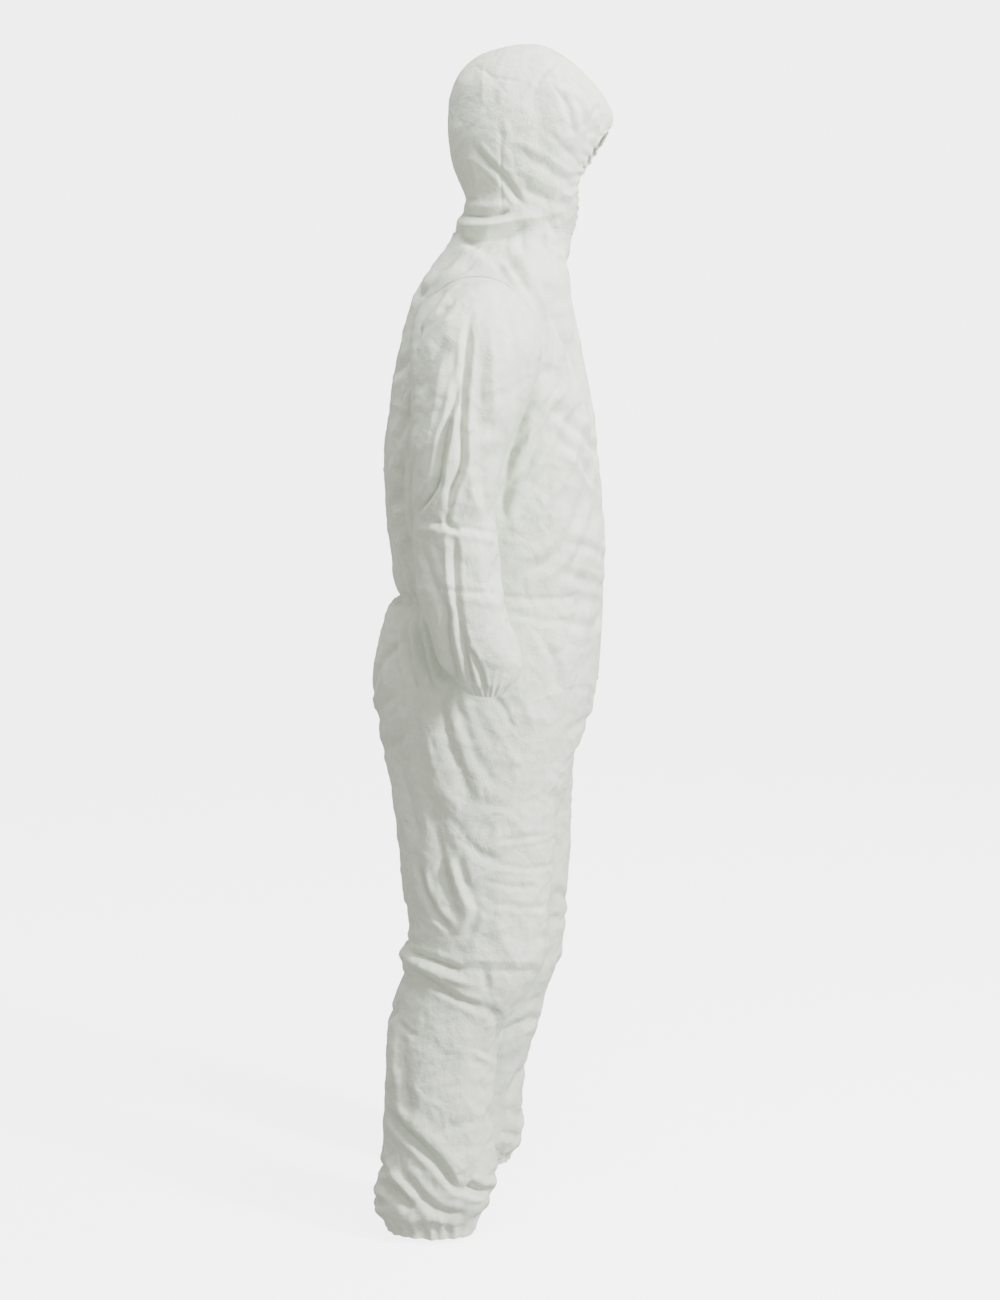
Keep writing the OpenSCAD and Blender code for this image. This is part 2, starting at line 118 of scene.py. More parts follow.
def along(table, z):
    """Smooth interpolation of every column of a table at heights z (mm)."""
    t = table[::-1]
    zs = t[:, 0]
    slopes = np.gradient(t[:, 1:], zs, axis=0)
    i = np.clip(np.searchsorted(zs, z) - 1, 0, len(zs) - 2)
    h = zs[i + 1] - zs[i]
    s = np.clip((z - zs[i]) / h, 0, 1)[:, None]
    h = h[:, None]
    a, b = t[i, 1:], t[i + 1, 1:]
    return ((2 * s**3 - 3 * s**2 + 1) * a + (s**3 - 2 * s**2 + s) * h * slopes[i]
            + (3 * s**2 - 2 * s**3) * b + (s**3 - s**2) * h * slopes[i + 1])


def soft(v, k):
    """Power k of the size of v, keeping its sign: squares off a circle's sine and cosine."""
    return np.sign(v) * np.abs(v) ** k


def smooth(x, lo, hi):
    """0 up to lo, 1 from hi, an even S between."""
    t = np.clip((x - lo) / (hi - lo), 0, 1)
    return t * t * (3 - 2 * t)


# ---------------------------------------------------------------- grids of cloth
STEP = 7.0          # spacing of the cloth's rows, mm
OUT, IN = 80, 40    # columns round the outside and the inside of one half
K_TRUNK, K_LEG = 0.84, 0.92


def half_body(side):
    """Rows from the neck to the ankle for one half. Below the crotch each row closes round the leg."""
    leg = LEG_R if side < 0 else LEG_L
    zt = np.arange(1498, CROTCH_Z - 1, -STEP)
    zt = np.append(zt[zt > CROTCH_Z + 3], CROTCH_Z)
    zl = np.arange(CROTCH_Z - STEP, STEP / 2, -STEP)
    zl = np.append(zl, 0)
    a = np.radians(270 - 180 * np.arange(OUT + 1) / OUT)      # right half; mirrored for the left
    al = np.radians(310 - 260 * np.arange(OUT + 1) / OUT)
    ai = np.radians(50 - 100 * np.arange(IN + 1) / IN)

    def trunk(z):
        f, b, w = along(TRUNK, z).T[:, :, None]
        return np.stack([w * soft(np.cos(a), K_TRUNK),
                         (f + b) / 2 + (b - f) / 2 * soft(np.sin(a), K_TRUNK),
                         z[:, None] + 0 * a], -1)

    def limb(z, ang):
        f, b, c, w = along(leg, z).T[:, :, None]
        c = -np.abs(c)
        return np.stack([c + w * soft(np.cos(ang), K_LEG),
                         (f + b) / 2 + (b - f) / 2 * soft(np.sin(ang), K_LEG),
                         z[:, None] + 0 * ang], -1)

    top = trunk(zt)
    s = smooth(-zl, -LEG_FROM, -LEG_OWN)[:, None, None]
    low_trunk = trunk(zl)
    outer = low_trunk * (1 - s) + limb(zl, al) * s
    t = (np.arange(IN + 1) / IN)[None, :, None]
    mid = low_trunk[:, -1:, :] * (1 - t) + low_trunk[:, :1, :] * t
    inner = mid * (1 - s) + limb(zl, ai) * s
    inner[:, 0], inner[:, -1] = outer[:, -1], outer[:, 0]
    m = smooth(-zt, -LEG_FROM, -LEG_OWN)[:, None, None]
    middle = top[:, [0, -1]].copy()
    top = top * (1 - m) + limb(zt, al) * m
    top[:, [0, -1]] = middle            # both halves share their centre lines
    top[:, [0, -1], 0] = 0
    crotch = top[-1, -1][None] * (1 - t[0]) + top[-1, 0][None] * t[0]
    crotch[:, 2] -= CROTCH_SAG * np.sin(np.pi * t[0, :, 0])
    verts = [top.reshape(-1, 3)]
    n_top = len(zt)
    def T(i, j):
        return i * (OUT + 1) + j
    base = n_top * (OUT + 1)
    ids_crotch = [T(n_top - 1, OUT)] + [base + k - 1 for k in range(1, IN)] + [T(n_top - 1, 0)]
    verts.append(crotch[1:-1])
    base += IN - 1
    ring = OUT + IN
    rows = []
    for i in range(len(zl)):
        verts.append(np.concatenate([outer[i], inner[i, 1:-1]]))
        rows.append([base + k for k in range(ring)])
        base += ring
    first = [T(n_top - 1, j) for j in range(OUT + 1)] + ids_crotch[1:-1]
    rows = [first] + rows
    faces, tags = [], []
    for i in range(n_top - 1):
        for j in range(OUT):
            faces.append((T(i, j), T(i, j + 1), T(i + 1, j + 1), T(i + 1, j)))
    for i in range(len(rows) - 1):
        for j in range(ring):
            k = (j + 1) % ring
            faces.append((rows[i][j], rows[i][k], rows[i + 1][k], rows[i + 1][j]))
    v = np.concatenate(verts)
    if side > 0:
        v[:, 0] *= -1
        faces = [f[::-1] for f in faces]
    info = dict(front=[T(i, 0) for i in range(n_top)], back=[T(i, OUT) for i in range(n_top)],
                crotch=ids_crotch, neck=[T(0, j) for j in range(OUT + 1)],
                inseam=[r[OUT + IN // 2] for r in rows], rings=rows[1:],
                at_waist=[i for i in range(n_top) if abs(zt[i] - WAIST_Z) < 6])
    return v, faces, info


def sleeve_grid(side, cols=88):
    """Rings of cloth from inside the armhole to the cuff."""
    t = SLEEVE
    length = np.concatenate([[0], np.cumsum(np.linalg.norm(
        np.diff((t[:, 0:2] + t[:, 2:4]) / 2, axis=0), axis=1))])
    u = np.linspace(0, length[-1], int(length[-1] / STEP) + 1)
    table = np.column_stack([length, t])[::-1]
    r = along(table, u)
    a = np.radians(90 + 360 * np.arange(cols) / cols)
    k = r[:, 6:7]
    c, s = soft(np.cos(a), k), soft(np.sin(a), k)
    mx, mz = (r[:, 0:1] + r[:, 2:3]) / 2, (r[:, 1:2] + r[:, 3:4]) / 2
    hx, hz = (r[:, 2:3] - r[:, 0:1]) / 2, (r[:, 3:4] - r[:, 1:2]) / 2
    v = np.stack([mx + hx * c, (r[:, 4:5] + r[:, 5:6]) / 2 + (r[:, 5:6] - r[:, 4:5]) / 2 * s,
                  mz + hz * c], -1).reshape(-1, 3)
    n = len(u)
    faces = [(i * cols + j, (i + 1) * cols + j, (i + 1) * cols + (j + 1) % cols, i * cols + (j + 1) % cols)
             for i in range(n - 1) for j in range(cols)]
    if side > 0:
        v[:, 0] *= -1
        faces = [f[::-1] for f in faces]
    faces = [f[::-1] for f in faces]
    return v, faces, dict(n=n, cols=cols)


def hood_grid(cols=144):
    """Rows from the hood's top to the neck, open in front where the face shows."""
    t = HOOD
    prof = np.column_stack([(t[:, 2] - t[:, 1]) / 2 + t[:, 3], t[:, 0]])
    length = np.concatenate([[0], np.cumsum(np.linalg.norm(np.diff(prof / [1.6, 1], axis=0), axis=1))])
    u = np.linspace(0, length[-1], int(length[-1] / (STEP * 0.82)) + 1)[1:]
    table = np.column_stack([length, t])[::-1]
    r = along(table, u)
    z, f, b, w, fw = r.T
    fw = np.clip(fw, 0, None)
    fw[z > 1664] = 0
    v, k = [], K_TRUNK
    for i in range(len(u)):
        cut = math.degrees(math.asin(min(1, (fw[i] / w[i])) ** (1 / k)))
        a = np.radians(np.linspace(270 - cut, -90 + cut, cols + 1))
        kk = 1 - (1 - k) * smooth(1770 - z[i], 0, 60)
        v.append(np.stack([w[i] * soft(np.cos(a), kk),
                           (f[i] + b[i]) / 2 + (b[i] - f[i]) / 2 * soft(np.sin(a), kk),
                           z[i] + 0 * a], -1))
    n = len(u)
    v = np.concatenate(v + [np.array([HOOD_TOP], float)])
    closed = [i for i in range(n) if fw[i] <= 0]
    last = len(v) - 1
    W = cols + 1
    def V(i, j):
        return i * W + (0 if (j == cols and i in closed) else j)
    faces = [(V(i, j), V(i, j + 1), V(i + 1, j + 1), V(i + 1, j)) for i in range(n - 1) for j in range(cols)]
    faces += [(last, V(0, j + 1), V(0, j)) for j in range(cols)]
    brim = max(closed)
    edge = [V(i, 0) for i in range(n - 1, brim - 1, -1)] + [V(i, cols) for i in range(brim + 1, n)]
    info = dict(edge=edge, top=last, back=[V(i, cols // 2) for i in range(n)],
                front=[V(i, 0) for i in range(brim + 1)])
    return v, [x[::-1] for x in faces], info


def outward(v, faces, centre):
    """Faces turned so that their normals point away from an upright line through centre."""
    d = (v - np.array(centre, float)) * [1, 1, 0]
    return faces if (vertex_normals(v, faces) * d).sum() > 0 else [f[::-1] for f in faces]


def weld(parts, tol=0.6):
    """Joins the grids into one mesh, merging points that lie together."""
    offset, v, f, src = 0, [], [], []
    for k, (pv, pf) in enumerate(parts):
        v.append(pv)
        f += [tuple(i + offset for i in q) for q in pf]
        src += [k] * len(pf)
        offset += len(pv)
    v = np.concatenate(v)
    key = {}
    remap = np.zeros(len(v), int)
    q = np.round(v / tol).astype(int)
    for i, p in enumerate(map(tuple, q)):
        remap[i] = key.setdefault(p, len(key))
    out = np.zeros((len(key), 3))
    for i in range(len(v)):
        out[remap[i]] = v[i]
    faces, keep = [], []
    for q, s in zip(f, src):
        q = [int(remap[i]) for i in q]
        q = [a for n, a in enumerate(q) if a != q[n - 1]]
        if len(set(q)) == len(q) and len(q) >= 3:
            faces.append(tuple(q))
            keep.append(s)
    return out, faces, np.array(keep), remap


# ---------------------------------------------------------------- view of the right side
VIEW_AT, VIEW_TO = np.array([-2.75, 0.0, 1.2]), np.array([0.0, 0.0, 0.88])
SHEET_AT = 2734.5    # how far before the camera the folds are drawn, mm: just off the body's middle
TAPER = 0.18         # share of a stroke's length over which each end fades


def side_view(p):
    """Where the camera sees points (mm) on a sheet SHEET_AT before it: mm forward, and height.
    The folds are drawn as strokes on that sheet and laid onto the cloth behind it."""
    f = VIEW_TO - VIEW_AT
    f /= np.linalg.norm(f)
    r = np.array([0.0, -1.0, 0.0])
    u = np.cross(r, f)
    d = p * MM - VIEW_AT
    depth = d @ f
    return np.stack([SHEET_AT * (d @ r) / depth, VIEW_TO[2] / MM + SHEET_AT * (d @ u) / depth], -1)


def vertex_normals(v, faces):
    """Unit normal of each point, from the faces round it."""
    n = np.zeros_like(v)
    q = np.array([f if len(f) == 4 else f + (f[-1],) for f in faces])
    c = np.cross(v[q[:, 2]] - v[q[:, 0]], v[q[:, 3]] - v[q[:, 1]])
    for k in range(4):
        np.add.at(n, q[:, k], c)
    return n / np.maximum(np.linalg.norm(n, axis=1, keepdims=True), 1e-9)


def stroke(view, pts, width):
    """Signed distance over width, and strength along its length, of each point to a stroke."""
    pts = np.array(pts, float)
    if len(pts) > 2:
        pts = smooth_path(pts)
    seg = np.diff(pts, axis=0)
    lens = np.linalg.norm(seg, axis=1)
    cum = np.concatenate([[0], np.cumsum(lens)])
    best = np.full(len(view), 1e9)
    side = np.zeros(len(view))
    pos = np.zeros(len(view))
    for i in range(len(seg)):
        rel = view - pts[i]
        t = np.clip((rel @ seg[i]) / lens[i] ** 2, 0, 1)
        d = np.linalg.norm(rel - t[:, None] * seg[i], axis=1)
        hit = d < best
        best[hit] = d[hit]
        cr = seg[i, 0] * rel[:, 1] - seg[i, 1] * rel[:, 0]
        side[hit] = np.sign(cr[hit])
        pos[hit] = (cum[i] + t[hit] * lens[i]) / cum[-1]
    ends = smooth(pos, 0, TAPER) * smooth(1 - pos, 0, TAPER)
    return best * side / width, 0.12 + 0.88 * ends


def smooth_path(pts, per=8):
    """A smooth curve through points, with per steps between each two."""
    out = []
    p = np.vstack([2 * pts[0] - pts[1], pts, 2 * pts[-1] - pts[-2]])
    for i in range(1, len(p) - 2):
        for t in np.linspace(0, 1, per, endpoint=False):
            out.append(0.5 * (2 * p[i] + (p[i + 1] - p[i - 1]) * t
                              + (2 * p[i - 1] - 5 * p[i] + 4 * p[i + 1] - p[i + 2]) * t * t
                              + (3 * p[i] - p[i - 1] - 3 * p[i + 1] + p[i + 2]) * t**3))
    return np.array(out + [p[-2]])


def lattice(p, cell, seed, dims=1):
    """Smooth seeded noise, about -1 to 1, with features the size of cell (mm)."""
    q = p / cell + 100.0
    i = np.floor(q).astype(np.int64)
    f = q - i
    f = f * f * (3 - 2 * f)
    out = np.zeros((len(p), dims))
    for dx in (0, 1):
        for dy in (0, 1):
            for dz in (0, 1):
                h = ((i[:, 0] + dx) * 73856093) ^ ((i[:, 1] + dy) * 19349663) ^ ((i[:, 2] + dz) * 83492791)
                w = (np.where(dx, f[:, 0], 1 - f[:, 0]) * np.where(dy, f[:, 1], 1 - f[:, 1])
                     * np.where(dz, f[:, 2], 1 - f[:, 2]))
                for k in range(dims):
                    g = (h ^ ((seed + 31 * k) * 2654435761)) & 0x7FFFFFFF
                    g = ((g ^ (g >> 13)) * 1274126177) & 0x7FFFFFFF
                    out[:, k] += w * (((g ^ (g >> 16)) % 100003) / 50001.5 - 1)
    return out[:, 0] if dims == 1 else out


def crumple(p, cell, seed):
    """Sharp-edged facets, as pressed or handled paper-like cloth has."""
    w = p + 0.55 * cell * lattice(p, cell * 1.3, seed + 5, 3)
    a = 1 - 2 * np.abs(lattice(w, cell, seed))
    b = 1 - 2 * np.abs(lattice(w + 37.0, cell * 0.8, seed + 1))
    return 0.5 * (a * np.abs(a) + b * np.abs(b))


def fold(view, kind, pts, depth, width):
    """Displacement (mm) of points by one stroke of a kind."""
    t, s = stroke(view, pts, width)
    if kind == "valley":
        h = -np.exp(-np.abs(t) ** 1.25 * 1.2) + 0.3 * np.exp(-((np.abs(t) - 1.7) / 0.8) ** 2)
    elif kind == "ridge":
        h = np.exp(-np.abs(t) ** 1.25)
    elif kind == "step":      # high on one side, low on the other
        h = -1.6 * t * np.exp(-t * t)
    else:                     # a sharp pressed crease
        h = -np.exp(-np.abs(t) * 1.6)
    return depth * s * h


# ---------------------------------------------------------------- folds
# Strokes in the side view, in mm: kind, depth, half-width, and points as (forward, height).
BODY_FOLDS = [
    ("valley", 5, 6, [(-33, 1462), (-60, 1445.5), (-90, 1429), (-112.5, 1411)]),
    ("valley", 5, 6, [(-79.5, 1430.5), (-93, 1405), (-114, 1378), (-126, 1345)]),
    ("valley", 5, 6, [(-60, 1405), (-90, 1378), (-117, 1354), (-129, 1327)]),
    ("valley", 7, 9, [(108, 1262.5), (75, 1210), (45, 1157.5), (7.5, 1105)]),
    ("valley", 7, 10.5, [(120, 1255), (108, 1210), (82.5, 1150), (45, 1097.5), (7.5, 1052.5)]),
    ("valley", 7, 10.5, [(144, 1172.5), (129, 1105), (112.5, 1052.5), (82.5, 1012), (27, 982)]),
    ("ridge", 4, 12, [(132, 1247.5), (117, 1180), (90, 1120), (45, 1052.5)]),
    ("valley", 6, 6.75, [(22.5, 1457.5), (52.5, 1405), (67.5, 1352.5), (67.5, 1307.5)]),
    ("valley", 6, 6.75, [(57, 1453), (78, 1405), (87, 1352.5), (84, 1303)]),
    ("valley", 6, 7.5, [(84, 1427.5), (102, 1352.5), (115.5, 1285), (120, 1232.5)]),
    ("ridge", 3, 7.5, [(0, 1462), (33, 1420), (48, 1378)]),
    ("valley", 3, 6, [(24, 1273), (57, 1283.5), (79.5, 1306)]),
    ("crease", 3, 4.5, [(-3, 955), (45, 950.5), (97.5, 950.5), (132, 958)]),
    ("ridge", 2, 7.5, [(7.5, 938.5), (60, 935.5), (105, 940)]),
    ("valley", 2, 6, [(18, 925), (75, 914.5), (112.5, 916)]),
    ("valley", 4, 10.5, [(138, 1000), (126, 947.5), (108, 895), (102, 862)]),
    ("valley", 6, 7.5, [(-142.5, 950.5), (-153, 910), (-159, 853)]),
    ("valley", 7, 7.5, [(-136.5, 946), (-139.5, 895), (-132, 847), (-120, 802)]),
    ("valley", 7, 7.5, [(-126, 950.5), (-120, 895), (-106.5, 835), (-99, 799)]),
    ("valley", 6, 7.5, [(-114, 946), (-102, 895), (-87, 844), (-75, 811)]),
    ("ridge", 6, 15, [(-114, 805), (-108, 752.5), (-96, 692.5), (-72, 646), (-45, 622)]),
    ("valley", 5, 9, [(-93, 817), (-81, 760), (-66, 707.5), (-48, 658), (-45, 637)]),
    ("valley", 3, 7.5, [(-72, 808), (-51, 752.5), (-30, 703), (0, 655)]),
    ("valley", 2, 7.5, [(-45, 805), (-24, 760), (-3, 715)]),
    ("valley", 3, 4.5, [(-9, 805), (9, 781), (21, 751)]),
    ("valley", 6, 10.5, [(-153, 752.5), (-148.5, 692.5), (-132, 625), (-117, 568)]),
    ("valley", 4, 12, [(-108, 655), (-90, 580), (-81, 505)]),
    ("ridge", 3, 10.5, [(-90, 643), (-60, 610), (-45, 553), (-39, 497.5)]),
    ("valley", 4, 7.5, [(-66, 616), (-36, 568), (7.5, 547)]),
    ("valley", 6, 6, [(-123, 553), (-108, 505), (-90, 467.5), (-66, 439)]),
    ("ridge", 4, 4.5, [(-108, 541), (-99, 499), (-78, 460)]),
    ("valley", 6, 7.5, [(-82.5, 556), (-78, 517), (-69, 487), (-63, 467.5)]),
    ("step", 6, 9, [(-72, 562), (-55.5, 520), (-40.5, 478), (-45, 452.5), (-63, 430)]),
    ("valley", 2, 4.5, [(-3, 580), (45, 586), (90, 590.5)]),
    ("valley", 2, 4.5, [(0, 545.5), (45, 538), (93, 547)]),
    ("valley", 2, 4.5, [(-30, 523), (22.5, 509.5), (67.5, 512.5)]),
    ("valley", 2, 6, [(-15, 487), (45, 478), (84, 484)]),
    ("valley", 10, 6, [(-144, 415), (-114, 404.5), (-82.5, 392.5), (-48, 379)]),
    ("ridge", 8, 10.5, [(-147, 398.5), (-114, 389.5), (-75, 373), (-27, 361)]),
    ("valley", 8, 6, [(-135, 385), (-114, 373), (-90, 358), (-60, 340), (-21, 325)]),
    ("ridge", 3, 6, [(-72, 406), (-30, 400), (18, 398.5), (72, 394)]),
    ("crease", 3, 4.5, [(-75, 391), (-30, 385), (30, 383.5), (67.5, 379)]),
    ("valley", 4, 6, [(-21, 385), (-18, 352)]),
    ("valley", 5, 7.5, [(-24, 334), (-4.5, 313), (-3, 280), (-10.5, 247)]),
    ("step", 4, 6, [(-33, 259), (0, 244)]),
    ("valley", 3, 4.5, [(-153, 307), (-136.5, 289), (-118.5, 283)]),
    ("step", 6, 9, [(-151.5, 287.5), (-147, 220), (-139.5, 157)]),
    ("valley", 2, 12, [(-90, 205), (-45, 208), (-6, 196)]),
    ("valley", 2, 9, [(-81, 142), (-45, 154), (-15, 148)]),
    ("valley", 11, 7.5, [(-174, 175), (-147, 145), (-120, 118), (-90, 88), (-67.5, 52)]),
    ("ridge", 6, 12, [(-144, 172), (-114, 142), (-75, 103), (-45, 67)]),
    ("valley", 9, 7.5, [(-153, 85), (-127.5, 55), (-105, 28), (-81, 13), (-45, 10)]),
    ("ridge", 6, 9, [(-171, 97), (-147, 64), (-123, 34)]),
    ("valley", 9, 9, [(-177, 61), (-153, 46), (-126, 19)]),
    ("valley", 12, 7.5, [(0, 50.5), (-24, 46), (-51, 58)]),
    ("valley", 6, 6, [(-81, 79), (-63, 52), (-30, 44.5)]),
]
FAR_LEG_FOLDS = [
    ("valley", 7, 7.5, [(-9, 280), (22.5, 298), (63, 314.5)]),
    ("valley", 5, 6, [(12, 187), (36, 235)]),
    ("valley", 4, 7.5, [(0, 137.5), (33, 130)]),
]
SLEEVE_FOLDS = [
    ("valley", 5, 6, [(-79.5, 1430.5), (-93, 1405), (-114, 1378), (-126, 1345)]),
    ("valley", 5, 6, [(-60, 1405), (-90, 1378), (-117, 1354), (-129, 1327)]),
    ("valley", 11, 6, [(-42, 1381), (-46.5, 1337.5), (-51, 1277.5), (-55.5, 1217.5), (-55.5, 1156),
                       (-70.5, 1117), (-78, 1072)]),
    ("valley", 11, 6, [(-57, 1297), (-67.5, 1240), (-81, 1192), (-88.5, 1150), (-94.5, 1123),
                       (-112.5, 1096), (-133.5, 1072)]),
    ("ridge", 4, 7.5, [(-63, 1255), (-72, 1180), (-81, 1112.5)]),
    ("valley", 5, 10.5, [(-75, 1351), (-102, 1303), (-126, 1261)]),
    ("ridge", 5, 10.5, [(-81, 1330), (-93, 1255), (-108, 1180), (-114, 1120)]),
    ("valley", 4, 9, [(0, 1411), (21, 1357), (28.5, 1300), (25.5, 1243)]),
    ("ridge", 3, 9, [(-15, 1375), (-9, 1300), (-9, 1210)]),
    ("valley", 3, 12, [(-24, 1345), (-27, 1255), (-30, 1195)]),
    ("valley", 6, 12, [(7.5, 1187.5), (-15, 1162), (-24, 1129), (-15, 1093), (-4.5, 1057)]),
    ("ridge", 4, 10.5, [(-42, 1150), (-39, 1105), (-24, 1075)]),
    ("crease", 4, 4.5, [(-129, 1072), (-90, 1066), (-57, 1058.5), (3, 1048)]),
    ("ridge", 3, 6, [(-126, 1058.5), (-82.5, 1051), (0, 1036)]),
    ("valley", 5, 4.5, [(-79.5, 1078), (-75, 1060), (-55.5, 1051)]),
    ("valley", 5, 6, [(-66, 1051), (-66, 1000), (-63, 947.5), (-54, 892), (-42, 853)]),
    ("ridge", 4, 6, [(-81, 1045), (-78, 985), (-72, 946)]),
    ("valley", 4, 7.5, [(-120, 1037.5), (-105, 992.5), (-90, 955)]),
    ("valley", 7, 6.75, [(-93, 961), (-78, 928), (-78, 892), (-70.5, 854.5), (-60, 814)]),
    ("ridge", 4, 6, [(-102, 940), (-90, 887.5), (-75, 838)]),
    ("valley", 5, 4.5, [(-54, 887.5), (-48, 853), (-39, 814)]),
    ("valley", 5, 4.5, [(-42, 872.5), (-30, 844), (-19.5, 808)]),
    ("valley", 3, 6, [(12, 922), (24, 892), (28.5, 859)]),
    ("crease", 3, 3.75, [(-93, 967), (-60, 961), (-18, 958), (9, 952)]),
    ("ridge", 2, 6, [(-63, 949), (-22.5, 944.5), (7.5, 937)]),
    ("valley", 3, 9, [(-15, 1037.5), (-9, 992.5), (-12, 967)]),
]
HOOD_FOLDS = [
    ("valley", 5, 6, [(-39, 1639), (-15, 1613.5), (7.5, 1592.5), (24, 1568.5), (40.5, 1546)]),
    ("crease", 2, 3, [(4.5, 1678), (4.5, 1615), (6, 1537)]),
    ("ridge", 3, 9, [(-45, 1627), (-33, 1592.5), (-36, 1555)]),
    ("ridge", 2.5, 9, [(21, 1651), (67.5, 1627), (112.5, 1597)]),
    ("valley", 2.5, 7.5, [(24, 1636), (67.5, 1609), (117, 1576)]),
    ("ridge", 3, 9, [(42, 1597), (82.5, 1576), (120, 1558)]),
    ("valley", 3, 7.5, [(33, 1576), (72, 1558), (117, 1546)]),
    ("valley", 2.5, 6, [(78, 1660), (102, 1633), (123, 1612)]),
    ("valley", 4, 5.25, [(96, 1720), (108, 1690), (115.5, 1654)]),
    ("valley", 4, 6, [(117, 1714), (129, 1687), (130.5, 1660)]),
    ("valley", 6, 5.25, [(151.5, 1702), (144, 1678), (139.5, 1649.5)]),
    ("valley", 4, 3.75, [(154.5, 1705), (160.5, 1681), (156, 1660)]),
    ("step", 2.5, 7.5, [(72, 1739.5), (99, 1727.5), (126, 1720)]),
    ("crease", 3, 3, [(78, 1735), (96, 1711), (105, 1681)]),
    ("crease", 3, 3, [(105, 1747), (129, 1726), (147, 1708)]),
    ("valley", 2, 4.5, [(90, 1765), (67.5, 1747), (54, 1720)]),
    ("crease", 2.5, 3, [(-39, 1765), (-6, 1744), (36, 1735)]),
    ("ridge", 8, 9, [(-66, 1516), (-30, 1514.5), (0, 1517.5), (33, 1526.5), (75, 1532.5)]),
    ("valley", 10, 7.5, [(-72, 1544.5), (-48, 1535.5), (-15, 1532.5), (22.5, 1540)]),
    ("valley", 7, 9, [(-66, 1501), (-21, 1496.5), (15, 1505.5), (48, 1520.5)]),
    ("valley", 3, 4.5, [(111, 1547.5), (93, 1531), (69, 1522)]),
    ("ridge", 4, 9, [(69, 1513), (84, 1486), (90, 1462)]),
    ("valley", 4, 7.5, [(84, 1519), (93, 1483), (105, 1447)]),
    ("valley", 3, 7.5, [(36, 1507), (36, 1471)]),
]
NECK_FOLDS = [
    ("valley", 6, 9, [(-57, 1498), (-27, 1481.5), (3, 1469.5), (30, 1453), (48, 1420)]),
    ("valley", 4, 7.5, [(30, 1480), (67.5, 1474), (90, 1489)]),
    ("valley", 5, 6, [(0, 1477), (18, 1462), (33, 1435), (45, 1396), (48, 1360)]),
    ("valley", 5, 6, [(-30, 1471), (-3, 1459), (12, 1432), (24, 1393), (39, 1348), (36, 1312)]),
    ("ridge", 3, 7.5, [(6, 1453), (24, 1411), (33, 1372)]),
    ("valley", 4, 6, [(-57, 1477), (-81, 1456), (-105, 1426), (-123, 1402)]),
    ("valley", 4, 5.25, [(99, 1285), (69, 1237), (36, 1192), (9, 1156)]),
    ("crease", 3, 4.5, [(30, 1276), (60, 1289.5), (87, 1291)]),
    ("valley", 4, 7.5, [(150, 1105), (138, 1060), (120, 1015), (90, 970)]),
    ("valley", 3, 7.5, [(60, 895), (84, 853), (90, 805)]),
    ("valley", 7, 9, [(79.5, 1396), (61.5, 1327), (40.5, 1240), (12, 1138), (7.5, 1033)]),
]
LEFT_DRIFT = np.array([13.5, -13.5])    # how far the left side's folds wander from the right's, mm
# The same kinds of stroke as (across, height), for the front and the back of both halves
FRONT_FOLDS = [
    ("valley", 6, 9, [(168, 1250), (130, 1212), (90, 1186), (46, 1172)]),
    ("valley", 5, 8, [(166, 1212), (128, 1164), (88, 1124)]),
    ("valley", 4, 8, [(150, 1392), (124, 1340), (104, 1285), (98, 1225)]),
    ("valley", 4, 10, [(54, 1436), (68, 1388), (92, 1330)]),
    ("ridge", 4, 10, [(156, 1184), (112, 1132), (62, 1096)]),
    ("valley", 5, 9, [(60, 1290), (84, 1220), (74, 1140)]),
    ("valley", 5, 8, [(170, 1012), (122, 988), (66, 976), (34, 980)]),
    ("valley", 4, 8, [(165, 1048), (110, 1034), (52, 1010)]),
    ("valley", 4, 9, [(150, 930), (104, 918), (56, 932)]),
    ("valley", 3, 8, [(10, 778), (44, 800), (88, 824), (142, 832)]),
    ("valley", 3, 8, [(18, 760), (58, 772), (102, 776), (152, 766)]),
    ("valley", 3, 9, [(30, 738), (72, 736), (122, 716)]),
    ("ridge", 2, 9, [(20, 790), (62, 812), (112, 832)]),
    ("valley", 4, 11, [(58, 700), (82, 642), (112, 600)]),
    ("valley", 4, 10, [(152, 690), (122, 640), (102, 588)]),
    ("valley", 2.5, 8, [(58, 474), (110, 452), (172, 464)]),
    ("valley", 2.5, 8, [(54, 430), (100, 418), (160, 434)]),
    ("valley", 4, 9, [(88, 380), (112, 330), (152, 300)]),
    ("valley", 5, 9, [(172, 204), (132, 172), (90, 162)]),
    ("valley", 4, 8, [(68, 112), (112, 86), (172, 94)]),
    ("valley", 4, 7, [(74, 62), (122, 50), (182, 60)]),
    ("crease", 3, 3, [(-60, 604), (-20, 602), (60, 605), (220, 601)]),
]
